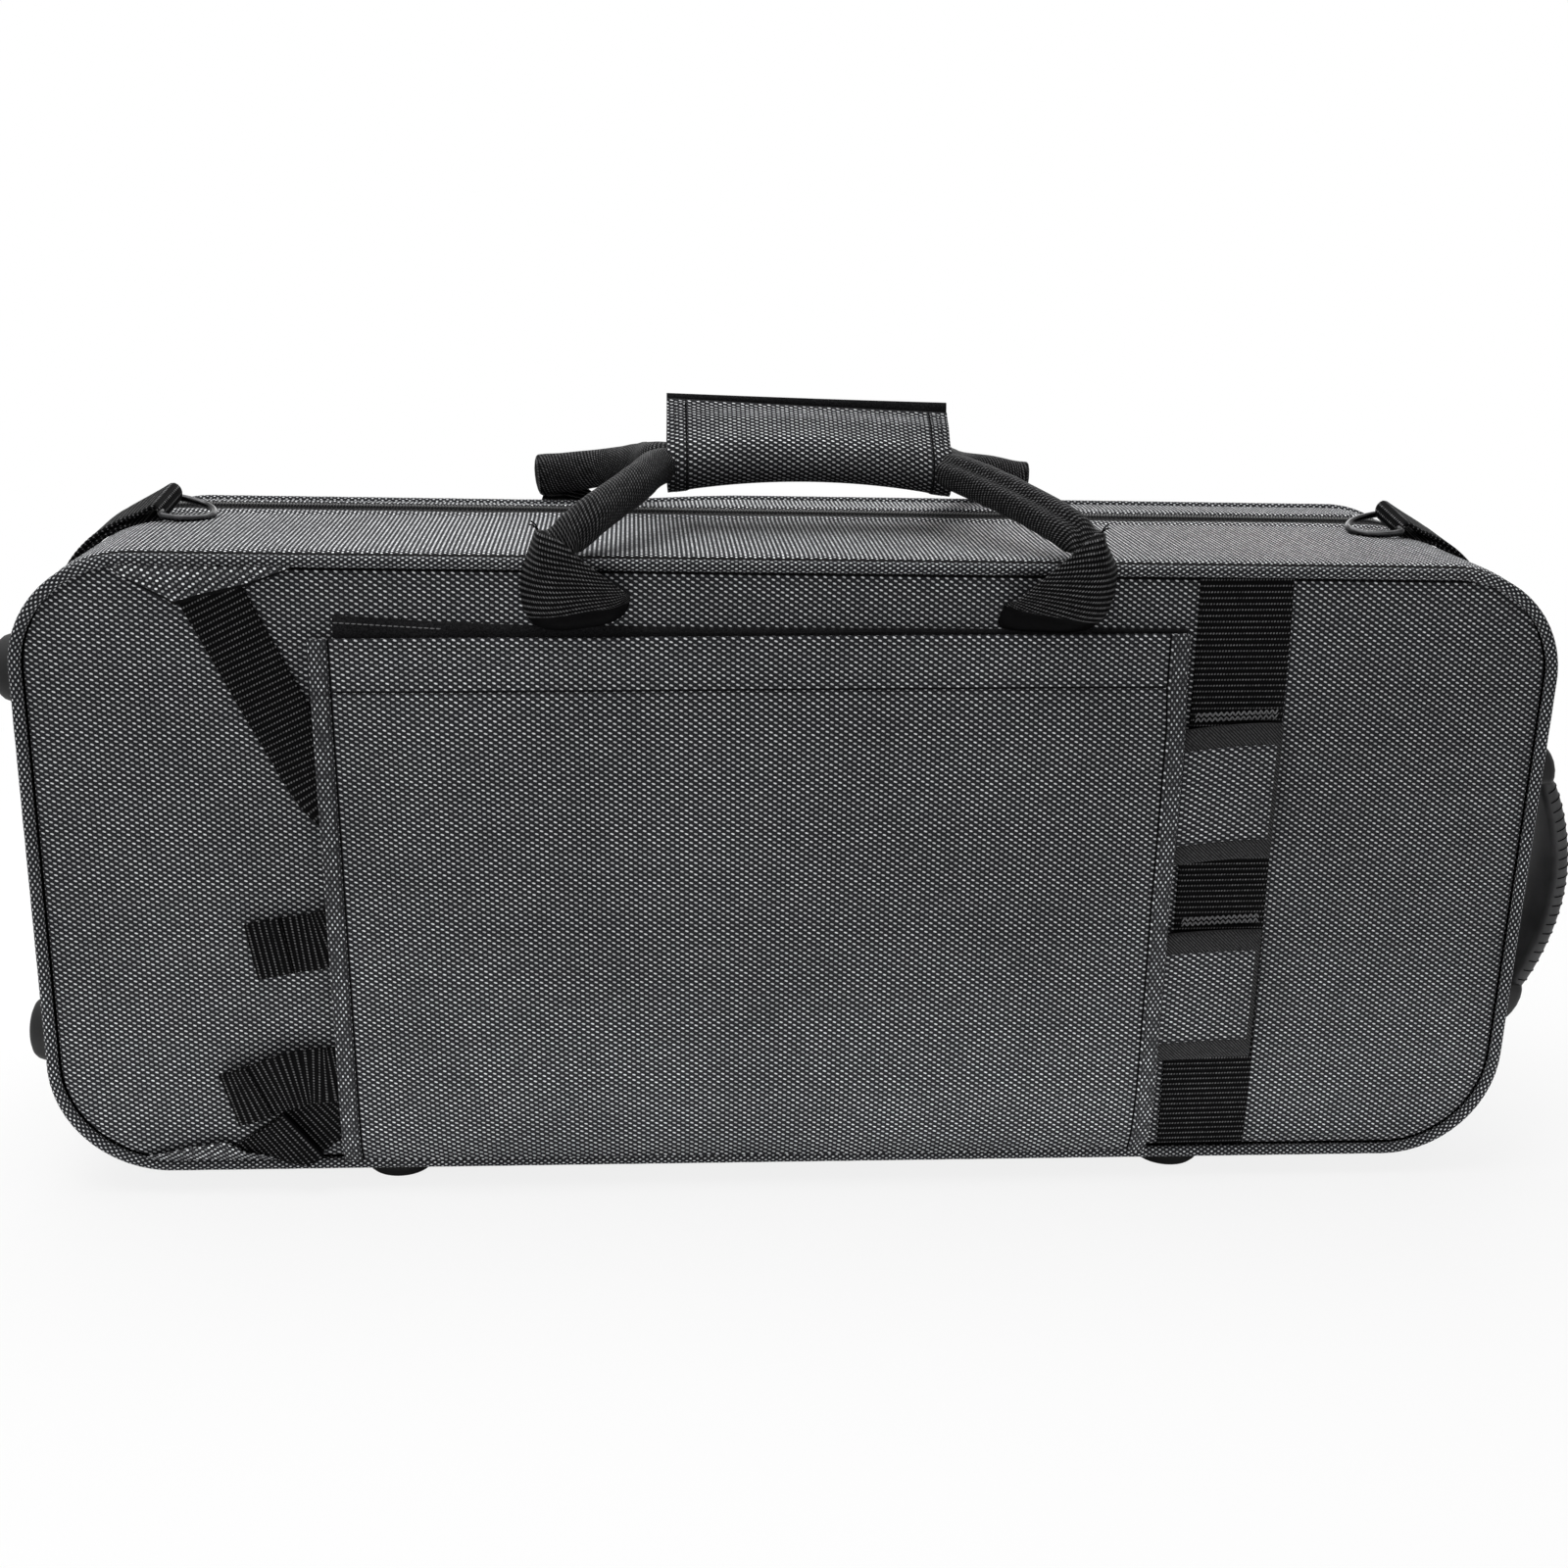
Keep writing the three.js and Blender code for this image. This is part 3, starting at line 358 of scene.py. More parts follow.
def metallic(name, tone, roughness):
    shader = Shader(name, roughness=roughness, specular=0.5)
    shader.surface["Metallic"].default_value = 1.0
    broad = shader.noise(160.0, 5.0, 0.65)
    colour = broad.ramp(0.45, 0.75).blend(opaque(tone), opaque(tone, 2.2))
    return shader.finish(colour, shader.noise(2600.0, 2.0), 0.02, 0.3, broad * 0.3 + (roughness - 0.1))


cloth = woven("woven_cloth", 0.009, 0.7)
cloth_fold = woven("woven_cloth_fold", 0.012, 0.62, 0.78, 0.5, 0.0, (0.3, 1.3))
cord_cloth = woven("woven_cloth_cord", 0.009, 0.7, 0.8, 0.46, 0.0)
patch_cloth = woven("woven_cloth_patch", 0.012, 0.8, 0.8, 0.6, -30.0, (0.4, 1.3))
side_cloth = woven("woven_cloth_side", 0.009, 0.88, 0.56, 0.82, 0.0)
# The grip's cloth is darkened towards its lower edge: painted shade under the grip.
grip_cloth = woven("woven_cloth_grip", 0.009, 0.82, painted_shade_below=(17.0, 36.0, 0.33, 1.0))
# The pale tone of each webbing is that of its painted highlights.
webbing = ribbed("black_webbing", grey(0.0012, 0.0002), grey(0.16, 0.003), stroke_half=(0.32, 0.17))
root_webbing = ribbed("root_webbing", grey(0.0014, 0.0002), grey(0.17, 0.003), lean=1.0,
                      stroke_half=(0.33, 0.24))
rope_webbing = ribbed("rope_webbing", grey(0.004, 0.0003), grey(0.15, 0.003), rib=2.1, yarn=1.5, lean=0.9,
                      depth=0.22, stroke_half=(0.34, 0.27))
# Binding tape; also the dark edge painted as shade at each shoulder pad's right end.
binding_and_end_shade = twilled("binding_tape_and_end_shade", grey(0.003, 0.0004), grey(0.12, 0.003), pitch=1.8, slant=1.0)
# Near-black tape: dark thread, and painted shade in grooves, under edges and in hollows.
dark_thread_and_shade = twilled("dark_thread_and_shade", grey(0.0015, 0.0002), grey(0.007, 0.0005))
zip_tape = twilled("zip_tape", grey(0.003, 0.0003), grey(0.018, 0.001), pitch=1.6, slant=1.0)
hinge_tape = twilled("hinge_tape", grey(0.006, 0.0005), grey(0.035, 0.002), pitch=1.4, slant=0.5)
thread = twilled("sewing_thread", grey(0.006, 0.0005), grey(0.035, 0.002), pitch=0.5, slant=1.0)
tack_thread = twilled("tack_thread", grey(0.1, 0.003), grey(0.5, 0.01), pitch=0.5, slant=1.0)
hook = furry("hook_strip_pile", grey(0.003, 0.0005), grey(0.035, 0.002), sheen=0.1)
plush = furry("plush_pile", grey(0.004, 0.0005), grey(0.03, 0.002), scale=1100.0, depth=0.7)
coil = moulded("zip_coil_nylon", grey(0.006, 0.0005), roughness=0.35, grain=0.02)
rubber = moulded("foot_rubber", grey(0.01, 0.0005), roughness=0.6, grain=0.08, scale=900.0)
plastic = moulded("moulded_plastic", grey(0.008, 0.0005), roughness=0.45)
leather = leathered("handle_leather", grey(0.036, 0.001))
gunmetal = metallic("gunmetal", grey(0.12, 0.005), roughness=0.28)
ring_steel = metallic("ring_steel", grey(0.03, 0.001), roughness=0.16)


# Mesh building

class Piece:
    """One mesh made of grids whose faces carry running lengths for the weave."""

    def __init__(self):
        self.points = []
        self.faces = []
        self.lengths = []
        self.parts = []
        self.count = 0

    def add(self, points, faces, lengths, part):
        """Faces count from the first point added here, and each corner of a face has a pair of lengths."""
        self.points.append(points)
        self.faces.extend([[self.count + corner for corner in face] for face in faces])
        self.lengths.append(lengths)
        self.parts.append(np.full(len(faces), part))
        self.count += len(points)

    def grid(self, rows, closed=False, part=0, u=None, v=None, lengths=None):
        rows = np.asarray(rows, float)
        high, wide = rows.shape[:2]
        if lengths is None:
            looped = np.concatenate([rows, rows[:, :1]], axis=1) if closed else rows
            u = mean_run(looped.swapaxes(0, 1)) if u is None else np.asarray(u)
            v = mean_run(rows) if v is None else np.asarray(v)
            lengths = stacked(u[None, :], v[:, None])
        j, i = np.meshgrid(np.arange(high - 1), np.arange(wide if closed else wide - 1), indexing="ij")
        j, i = j.ravel(), i.ravel()
        k = (i + 1) % wide
        quads = np.stack([j * wide + i, j * wide + k, (j + 1) * wide + k, (j + 1) * wide + i], axis=1)
        marks = np.stack([lengths[j, i], lengths[j, i + 1], lengths[j + 1, i + 1], lengths[j + 1, i]], axis=1)
        self.add(rows.reshape(-1, 3), quads.tolist(), marks.reshape(-1, 2), part)

    def cap(self, ring, part=0):
        """Closes a ring of points with one face."""
        ring = np.asarray(ring, float)
        self.add(ring, [range(len(ring))], ring[:, [0, 2]] + ring[:, [1, 1]], part)

    def tube(self, rows, part=0, **given):
        """A closed surface from rings of points, with a cap at each end."""
        self.grid(rows, closed=True, part=part, **given)
        self.cap(rows[0], part)
        self.cap(rows[-1][::-1], part)

    def scatter(self, points, faces, places, axes, part=0):
        """Repeats a small form at many places, each turned to its own three axes."""
        copies = np.einsum("pk,nkj->npj", points, axes) + places[:, None, :]
        flat = np.concatenate([points[list(face)][:, [0, 1]] for face in faces])
        repeated = [[number * len(points) + corner for corner in face]
                    for number in range(len(places)) for face in faces]
        self.add(copies.reshape(-1, 3), repeated, np.tile(flat, (len(places), 1)), part)

    def build(self, name, body, materials, slot, replaced=(), weld=0.004):
        mesh = bpy.data.meshes.new(name)
        mesh.from_pydata(placed(np.concatenate(self.points)).tolist(), [], self.faces)
        layer = mesh.uv_layers.new(name="weave")
        layer.data.foreach_set("uv", np.concatenate(self.lengths).astype(np.float32).ravel())
        for material in materials:
            mesh.materials.append(material)
        mesh.polygons.foreach_set("material_index", np.concatenate(self.parts).astype(np.int32))
        mesh.polygons.foreach_set("use_smooth", np.ones(len(self.faces), bool))
        work = bmesh.new()
        work.from_mesh(mesh)
        bmesh.ops.remove_doubles(work, verts=work.verts, dist=weld * METRE)
        bmesh.ops.dissolve_degenerate(work, edges=work.edges, dist=1e-7)
        bmesh.ops.recalc_face_normals(work, faces=work.faces)
        work.to_mesh(mesh)
        work.free()
        piece = add_object(name, mesh)
        if body:
            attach(piece, body)
        if replaced:
            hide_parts(*replaced)
        return piece


def resampled(line, count):
    run = running(line)
    return read_off(np.linspace(0, run[-1], count), run, line)


def curved(points, count, steps=24):
    """A smooth line through the points, evenly spaced."""
    points = np.asarray(points, float)
    padded = np.concatenate([[2 * points[0] - points[1]], points, [2 * points[-1] - points[-2]]])
    line = []
    for k in range(1, len(padded) - 2):
        a, b, c, d = padded[k - 1:k + 3]
        for t in np.arange(steps) / steps:
            line.append(0.5 * (2 * b + (c - a) * t + (2 * a - 5 * b + 4 * c - d) * t ** 2
                               + (3 * b - a - 3 * c + d) * t ** 3))
    line.append(points[-1])
    return resampled(line, count)


def headings(line, closed=False):
    if closed:
        return unit(np.roll(line, -1, axis=0) - np.roll(line, 1, axis=0))
    return unit(np.gradient(line, axis=0))


def swept(line, sides, section, closed=False):
    """Rings of (across, out) pairs carried along a line, with one side and section or one a point."""
    line, section = np.asarray(line, float), np.asarray(section, float)
    sides = unit(np.broadcast_to(sides, line.shape))
    forward = headings(line, closed)
    out = unit(np.cross(forward, sides))
    sides = unit(np.cross(out, forward))
    return line[:, None, :] + section[..., 0:1] * sides[:, None, :] + section[..., 1:2] * out[:, None, :]


def circle(radius, sides):
    return radius * direction(np.degrees(full_turn(sides)))


def flat_section(width, thickness, across=8, edge=3):
    """A strap's section with rounded selvedges, listed round from one corner."""
    half, thin = width / 2, thickness / 2
    top = [(x, thin) for x in np.linspace(-half + thin, half - thin, across)]
    turn = np.linspace(math.pi / 2, -math.pi / 2, edge + 2)[1:-1]
    right = [(half - thin + thin * math.cos(a), thin * math.sin(a)) for a in turn]
    return np.array(top + right + [(-x, -y) for x, y in top] + [(-x, -y) for x, y in right])


def strap(piece, line, sides, width, thickness, across=8, limit=None):
    """A strap of webbing along a line, with closed ends. A limit holds the lowest z allowed at given x."""
    rows = swept(line, sides, flat_section(width, thickness, across))
    if limit is not None:
        rows[..., 2] = np.maximum(rows[..., 2], np.interp(rows[..., 0], *limit))
    piece.tube(rows, v=running(line))


def tube_faces(rings, sides):
    """Faces of a tube of rings, closed at both ends."""
    faces = [(ring * sides + k, ring * sides + (k + 1) % sides, (ring + 1) * sides + (k + 1) % sides,
              (ring + 1) * sides + k) for ring in range(rings - 1) for k in range(sides)]
    return faces + [tuple(range(sides)), tuple(range((rings - 1) * sides, rings * sides))]


STITCH_SIDES = 6
STITCH_STATIONS = [(-0.5, 0.25), (-0.36, 0.8), (0.0, 1.0), (0.36, 0.8), (0.5, 0.25)]
STITCH_FACES = tube_faces(len(STITCH_STATIONS), STITCH_SIDES)


def stitched(piece, line, out, pitch=3.2, length=2.3, radius=0.28, part=0):
    """A row of stitches along a line. Out points away from the cloth, one for all or one a point."""
    run = running(line)
    at = np.arange(pitch / 2, run[-1], pitch)
    forward = unit(read_off(at + pitch / 3, run, line) - read_off(at - pitch / 3, run, line))
    out = read_off(at, run, np.broadcast_to(out, np.shape(line)))
    side = unit(np.cross(out, forward))
    axes = np.stack([forward, side, np.cross(forward, side)], axis=1)
    form = np.array([(end * length, *(radius * size * ring)) for end, size in STITCH_STATIONS
                     for ring in circle(1.0, STITCH_SIDES)])
    piece.scatter(form, STITCH_FACES, read_off(at, run, line), axes, part)


# The case's outline, from the middle of the bottom round by the right

CORNER_STEPS = 32


def outline():
    """Points and outward normals, with even steps along each wall and round each corner."""
    x, low, high = HALF_LENGTH - CORNER, CORNER, HEIGHT - CORNER
    walls = [((0, 0), (x, 0), 34), ((HALF_LENGTH, low), (HALF_LENGTH, high), 22),
             ((x, HEIGHT), (-x, HEIGHT), 68), ((-HALF_LENGTH, high), (-HALF_LENGTH, low), 22),
             ((-x, 0), (0, 0), 34)]
    points, normals = [], []
    for number, (start, end, steps) in enumerate(walls):
        facing = 90 * number - 90
        points.append(lerp(vec(*start), vec(*end), np.arange(steps)[:, None] / steps))
        normals.append(np.round(direction(np.full(steps, facing))))
        if number < 4:
            centre = vec((x, x, -x, -x)[number], (low, high, high, low)[number])
            outward = direction(facing + 90 * np.arange(CORNER_STEPS) / CORNER_STEPS)
            points.append(centre + CORNER * outward)
            normals.append(outward)
    return np.concatenate(points), np.concatenate(normals)


edge_points, edge_normals = outline()
looped_points, looped_normals = (np.concatenate([ring, ring[:1]]) for ring in (edge_points, edge_normals))
edge_run = running(looped_points)
on_top = np.clip(edge_normals[:, 1], 0, 1) ** 2
TOP_CORD_DROP = 2.8
ZIP_RISE = 1.0
LID_SAG = 4.2


def settled(points):
    """The lid's soft top hangs a little at the left."""
    points = np.array(points, float)
    x, y, z = points[..., 0], points[..., 1], points[..., 2]
    share = smooth((-x - 20) / 110) * smooth((x + 396) / 50) * smooth((z - 296) / 40) * smooth((y - 149) / 50)
    points[..., 2] = z - LID_SAG * share
    return points


def edge_ring(depth, inset, wave=0.0):
    """Points round the case at one depth, brought in from the outline by the inset."""
    turn = math.tau * edge_run[:-1] / edge_run[-1]
    waves = (np.sin(11 * turn + depth / 31) + 0.7 * np.sin(17 * turn + 1.9 - depth / 23)
             + 0.5 * np.sin(29 * turn + 0.6 + depth / 17)) / 2.2
    flat = edge_points - edge_normals * (inset + wave * waves)[:, None]
    return stacked(flat[:, 0], depth, flat[:, 1])


def edge_at(run, depth, inset):
    """Points and outward directions at running lengths round the outline."""
    normal = unit(read_off(run, edge_run, looped_normals))
    inner = read_off(run, edge_run, looped_points) - normal * np.reshape(inset, (-1, 1))
    return stacked(inner[:, 0], depth, inner[:, 1]), stacked(normal[:, 0], 0, normal[:, 1])


def edge_distance(x, z):
    """How far a point of the face lies inside the outline."""
    beyond_x = np.abs(x) - (HALF_LENGTH - CORNER)
    beyond_z = np.abs(z - HEIGHT / 2) - (HEIGHT / 2 - CORNER)
    outside = np.hypot(np.maximum(beyond_x, 0), np.maximum(beyond_z, 0))
    return CORNER - outside - np.minimum(np.maximum(beyond_x, beyond_z), 0)


def face_y(x, z):
    """Depth of the front cloth: rolled back at its rim and faintly uneven in the middle."""
    inside = edge_distance(x, z)
    roll = 1.9 * (1 - smooth((inside - 5.5) / 7.5)) + 0.8 * (1 - smooth((inside - 8) / 40))
    uneven = 0.3 * np.sin(x / 61 + 1.3) * np.sin(z / 47 + 0.4) + 0.16 * np.sin(x / 29 + z / 53 + 2.1)
    return roll + uneven * smooth((inside - 12) / 40)


def on_face(x, z, lift):
    x, z = np.asarray(x, float), np.asarray(z, float)
    return stacked(x, face_y(x, z) - lift, z)


def face_rows(inset, spread=7.5):
    """Rows of x and z over the face, dense near the rim."""
    radius = CORNER - inset
    low = list(CORNER - radius * np.sin(np.radians(np.linspace(90, 0, 15)[:-1])))
    middle = list(np.linspace(CORNER, HEIGHT - CORNER, int((HEIGHT - 2 * CORNER) / spread)))
    heights = np.array(low + middle + [HEIGHT - z for z in reversed(low)])
    near = [0, 0.8, 1.8, 3, 4.5, 6.5, 9, 12, 16, 21, 27, 34]
    reach = HALF_LENGTH - inset
    inner = np.linspace(near[-1], reach, int((reach - near[-1]) / spread))[1:]
    shares = 1 - np.concatenate([near, inner]) / reach
    shares = np.concatenate([-shares, shares[::-1][1:]])
    beyond = np.maximum(np.abs(heights - HEIGHT / 2) - (HEIGHT / 2 - CORNER), 0)
    widths = HALF_LENGTH - CORNER + np.sqrt(np.maximum(radius ** 2 - beyond ** 2, 0))
    return np.broadcast_arrays(widths[:, None] * shares[None, :], heights[:, None])


def add_shell(name, body, node, face_depth, deeper):
    """One half of the case. Deeper is 1 where it goes back from its face and -1 where it comes forward."""
    front = deeper > 0
    piece = Piece()
    x, z = face_rows(FACE_INSET)
    y = face_depth + deeper * face_y(x, z)
    if not front:
        y = y + 1.2 * smooth((edge_distance(x, z) - 15) / 90)
    piece.grid(settled(stacked(x, y, z)), lengths=stacked(x, z))
    # The outermost rows of the face at the top and bottom are near-black: painted shade beside the seam.
    beside_seam = piece.parts[-1].reshape(len(x) - 1, -1)
    beside_seam[-3:] = 2
    beside_seam[:1] = 2
    # The groove under the piping is near-black: painted shade.
    groove = [(5.8, 4.4), (5.2, 5.4), (4.3, 6.3), (face_y(0.0, FACE_INSET), FACE_INSET)]
    groove = settled([edge_ring(face_depth + deeper * depth, inset) for depth, inset in groove])
    piece.grid(groove, closed=True, part=2, u=edge_run, v=[0, 1.2, 2.4, 4.2])
    length = PARTING if front else DEPTH - PARTING
    seam = length - 22.0
    outside = [(1.4, 5.0), (1.8, 3.6), (2.7, 2.4), (4.2, 1.6), (6.5, 1.3), (11, 1.2)]
    outside += [(depth, 1.2) for depth in np.linspace(18, seam - 8, 12 if front else 3)]
    bead = [(-3.5, 1.15), (-1.8, 0.85), (-0.4, 0.45), (1.5, 0.3), (4, 0.35), (6.3, 0.6), (7.4, 1.2),
            (7.9, 2.3), (8.1, 3.7)]
    outside += [(seam + past, inset) for past, inset in bead]
    rim = [(seam + 8.1, 3.7), (length - 0.9, 3.7), (length - 0.3, 4.1), (length - 0.15, 4.8),
           (length - 0.15, 12.4), (length - 0.5, 13.2), (length - 1.2, 13.5), (13.0, 13.5), (12.2, 14.4)]

    def ring(station, wave=0.0):
        depth, inset = station
        rolled = 3.0 * math.exp(-(depth - 1.4) / 4.2) * on_top if front and depth < 30 else 0.0 * on_top
        return edge_ring(face_depth + deeper * depth, inset + rolled, wave)

    rows = settled([ring(station, 0.32 if number > 2 and station[1] <= 1.25 else 0.0)
                    for number, station in enumerate(outside)])
    depths = np.array(outside)[:, 0]
    gap, lip = 4 if front else 2, len(outside) - 3
    # The rings next to the piping and next to the zip bead are near-black: painted shade in the grooves.
    for first, last, part in ((0, gap + 1, 2), (gap, lip + 1, 3), (lip, None, 2)):
        piece.grid(rows[first:last], closed=True, part=part, u=edge_run, v=depths[first:last])
    piece.grid([ring(station) for station in rim], closed=True, part=1)
    x, z = face_rows(14.4, 24)
    piece.grid(stacked(x, face_depth + deeper * 12.2, z), part=1)
    shell = piece.build(name, body, [cloth, plush, dark_thread_and_shade, side_cloth], "woven_fabric", [node])


def add_piping(name, body, node, depth, drop):
    """A cord covered with the case's cloth."""
    sides = 18
    puckers = 1 + 0.018 * np.sin(310 * math.tau * edge_run[:-1] / edge_run[-1])
    line = settled(edge_ring(depth, PIPING_RADIUS + drop * on_top))
    rows = swept(line, BACK, circle(CORD_RADIUS, sides)[None] * puckers[:, None, None], closed=True)
    wound = math.tau * CORD_RADIUS * np.arange(sides + 1) / sides
    piece = Piece()
    piece.grid(np.concatenate([rows, rows[:1]]), closed=True,
               lengths=1.2 * stacked(edge_run[:, None], wound[None, :]))
    piece.build(name, body, [cord_cloth], "woven_fabric", [node])


# Zip, with real teeth

TOOTH_PITCH = 1.7
TOOTH_SIDES = 6
ZIP_START = HINGE_HALF
ZIP_END = edge_run[-1] - HINGE_HALF


def add_zip(prefix, body, deeper, phase):
    run = np.linspace(ZIP_START, ZIP_END, 420)

    def zip_line(at, depth, inset, raised=True):
        rise = ZIP_RISE * np.interp(at, edge_run[:-1], on_top) * raised
        return edge_at(at, PARTING - deeper * depth, inset - rise)

    stations = [(3.0, 3.4), (3.0, 2.3), (3.6, 1.95), (6, 1.75), (9, 1.85), (12.2, 2.0), (13.6, 2.1),
                (13.8, 2.6), (13.6, 3.4), (3.0, 3.4)]
    tape = Piece()
    tape.grid([zip_line(run, depth, inset, inset < 3)[0] for depth, inset in stations],
              u=run, v=[depth for depth, _ in stations])
    for inset, depth in ((1.55, 5.4), (1.6, 8.0)):
        stitched(tape, *zip_line(run, depth, inset), pitch=2.6, length=1.9, radius=0.22, part=1)
    tape.build(f"{prefix}_zip_tape_cloth", body, [zip_tape, thread], "webbing", [f"{prefix}_zip_tape"])

    bent = vec([3.3, -2.35, 0.0], [2.9, -0.75, 0.28], [1.5, -0.35, 0.0], [0.0, -0.62, 0.0],
               [-0.42, -1.35, -0.1], [-0.2, -2.3, 0.05])
    sizes = vec(0.42, 0.46, 0.46, 0.52, 0.6, 0.45)
    tooth = swept(bent, UP, circle(1.0, TOOTH_SIDES)[None] * sizes[:, None, None]).reshape(-1, 3)
    at = np.arange(ZIP_START + TOOTH_PITCH * (0.5 + phase), ZIP_END - TOOTH_PITCH / 2, TOOTH_PITCH)
    places, out = zip_line(at, 0.0, 0.6)
    toward = np.broadcast_to(-deeper * BACK, places.shape)
    axes = np.stack([toward, out, np.cross(toward, out)], axis=1)
    teeth = Piece()
    teeth.scatter(tooth, tube_faces(len(bent), TOOTH_SIDES), places, axes)
    teeth.grid(swept(zip_line(run, 2.2, 2.1)[0], BACK, circle(0.75, 8)), closed=True, part=1)
    teeth.build(f"{prefix}_zip_teeth", body, [coil, zip_tape], "zip_coil", [f"{prefix}_zip_coil"])


def add_hinge():
    """One cloth strip along the bottom, under the line where the lid turns."""
    x = np.linspace(-HINGE_HALF, HINGE_HALF, 61)
    profile = [(131.4, 3.4), (131.4, 2.4), (132, 1.95), (135, 1.8), (139, 1.8), (141.5, 1.85)]
    profile += [(y, 1.9) for y in np.linspace(142.5, 147.5, 13)]
    profile += [(148.5, 1.85), (151, 1.8), (155, 1.8), (158, 1.95), (158.6, 2.4), (158.6, 3.4)]
    profile += [(y, 3.3) for y in (150.0, 147.5, 146, 145, 144, 142.5, 140.0)] + profile[:1]
    piece = Piece()
    piece.grid([stacked(x, y, z) for y, z in profile], u=x, v=running(profile))
    for y in (134.0, 156.0):
        stitched(piece, stacked(x, y, 1.75), -UP, part=1)
    hinge = piece.build("hinge_cloth", None, [hinge_tape, thread], "webbing",
                        ["hinge_strip_base", "hinge_strip_lid"])
    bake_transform(hinge)


add_shell("base_cover", "base", "base_shell", 0.0, 1)
add_shell("lid_cover", "lid", "lid_shell", DEPTH, -1)
add_piping("front_piping_cord", "base", "front_piping", PIPING_RADIUS - 1.5, TOP_CORD_DROP)
add_piping("lid_piping_cord", "lid", "lid_piping", DEPTH - PIPING_RADIUS + 1.5, 0.0)
add_zip("base", "base", 1, 0.0)
add_zip("lid", "lid", -1, 0.5)
add_hinge()


# Turned parts

def turned(middle, out, first, profile, count, size=1.0):
    """Rings round an axis from (radius, height) pairs."""
    ring = direction(np.degrees(full_turn(count))) @ np.stack([first, np.cross(out, first)])
    return [middle + out * height + size * radius * ring for radius, height in profile]


FOOT_PROFILE = [(0.0, -0.2), (21.6, -0.2), (22.0, 0.4), (22.0, 2.6), (21.7, 3.6), (21.2, 4.3), (20.9, 4.9),
                (20.7, 5.8), (20.2, 8.0), (19.2, 10.4), (17.4, 12.2), (14.6, 13.3), (11.0, 13.9), (9.2, 14.0),
                (8.6, 13.9), (8.3, 13.5), (8.1, 12.6), (7.7, 12.2), (4.4, 12.2), (4.2, 12.5), (3.9, 13.0),
                (2.6, 13.3), (0.0, 13.4)]
FOOT_REACH = HALF_LENGTH - 181.0
FOOT_ROWS = ((27.0, "front"), (105.0, "back"))


def add_foot(name, middle, out, first, size):
    piece = Piece()
    piece.grid(turned(middle, out, first, FOOT_PROFILE, 56, size), closed=True)
    piece.build(f"{name}_moulding", "base", [rubber], "foot_rubber", [name])


for x, word in ((-FOOT_REACH, "left"), (FOOT_REACH, "right")):
    for y, row in FOOT_ROWS:
        add_foot(f"bottom_foot_{row}_{word}", vec(x, y, 1.2), -UP, RIGHT, 0.97)
for z, word in ((73.0, "low"), (274.0, "high")):
    for y, row in FOOT_ROWS:
        add_foot(f"end_foot_{row}_{word}", vec(-398.8, y, z), -RIGHT, UP, 0.86)


# Strap cover

COVER_LEFT_TOP = vec(-252.5, 297.4)
COVER_RIGHT_TOP = vec(197.5, 304.0)
COVER_LEFT_BOTTOM = vec(-246.5, 5.0)
COVER_RIGHT_BOTTOM = vec(199.5, 2.0)
COVER_HEM = 9.8
SEAM_WIDE = 0.9
COVER_WIDTH = 446.0
COVER_HEIGHT = 296.0
COVER_THICKNESS = 1.5


def cover_place(across, down):
    """Face coordinates of a place given from the cover's upper left corner."""
    corners = (COVER_LEFT_TOP, COVER_RIGHT_TOP, COVER_LEFT_BOTTOM, COVER_RIGHT_BOTTOM)
    left_top, right_top, left_bottom, right_bottom = (corner[:, None, None] for corner in corners)
    share = across / COVER_WIDTH
    return lerp(lerp(left_top, right_top, share), lerp(left_bottom, right_bottom, share), down / COVER_HEIGHT)


def cover_lift(x, z):
    """How far the back of the cover stands off the face, over what is stowed under it."""
    over_straps = lerp(1.6, 4.5, smooth(z / 24))
    over_pads = smooth((x + 247) / 58) * smooth((z - 2) / 52) * (1 - smooth((z - 252) / 26))
    between = 1 - 0.2 * hump(z, 155, 17) * smooth((x + 160) / 60)
    swell = 0.45 * np.sin(x / 52 + z / 75) + 0.35 * np.sin(x / 33 - z / 41 + 1.2)
    body = smooth((x + 244) / 30) * smooth((z - 8) / 30) * (1 - smooth((z - 268) / 24))
    return over_straps + 4.3 * over_pads * between + swell * body


def cover_back(across, down):
    x, z = cover_place(across, down)
    return on_face(x, z, cover_lift(x, z))


def cover_front(across, down):
    x, z = cover_place(across, down)
    rise = cover_lift(x, z) + COVER_THICKNESS
    for distance in (across, COVER_WIDTH - across):
        hem = smooth((COVER_HEM + 0.2 - distance) / 0.8)
        rise = rise + 0.9 * hem * smooth(distance / 1.2 + 0.25) - hump(distance, COVER_HEM + 0.45, 0.8)
    rise = rise + 0.5 * hump(down, 25.3, 1.5) - 0.8 * hump(down, 27.6, 0.9) - 0.35 * hump(down, 4.6, 0.8)
    for distance in (across, COVER_WIDTH - across, down):
        rise = rise - 0.8 * (1 - smooth(distance / 0.9))
    return on_face(x, z, rise)


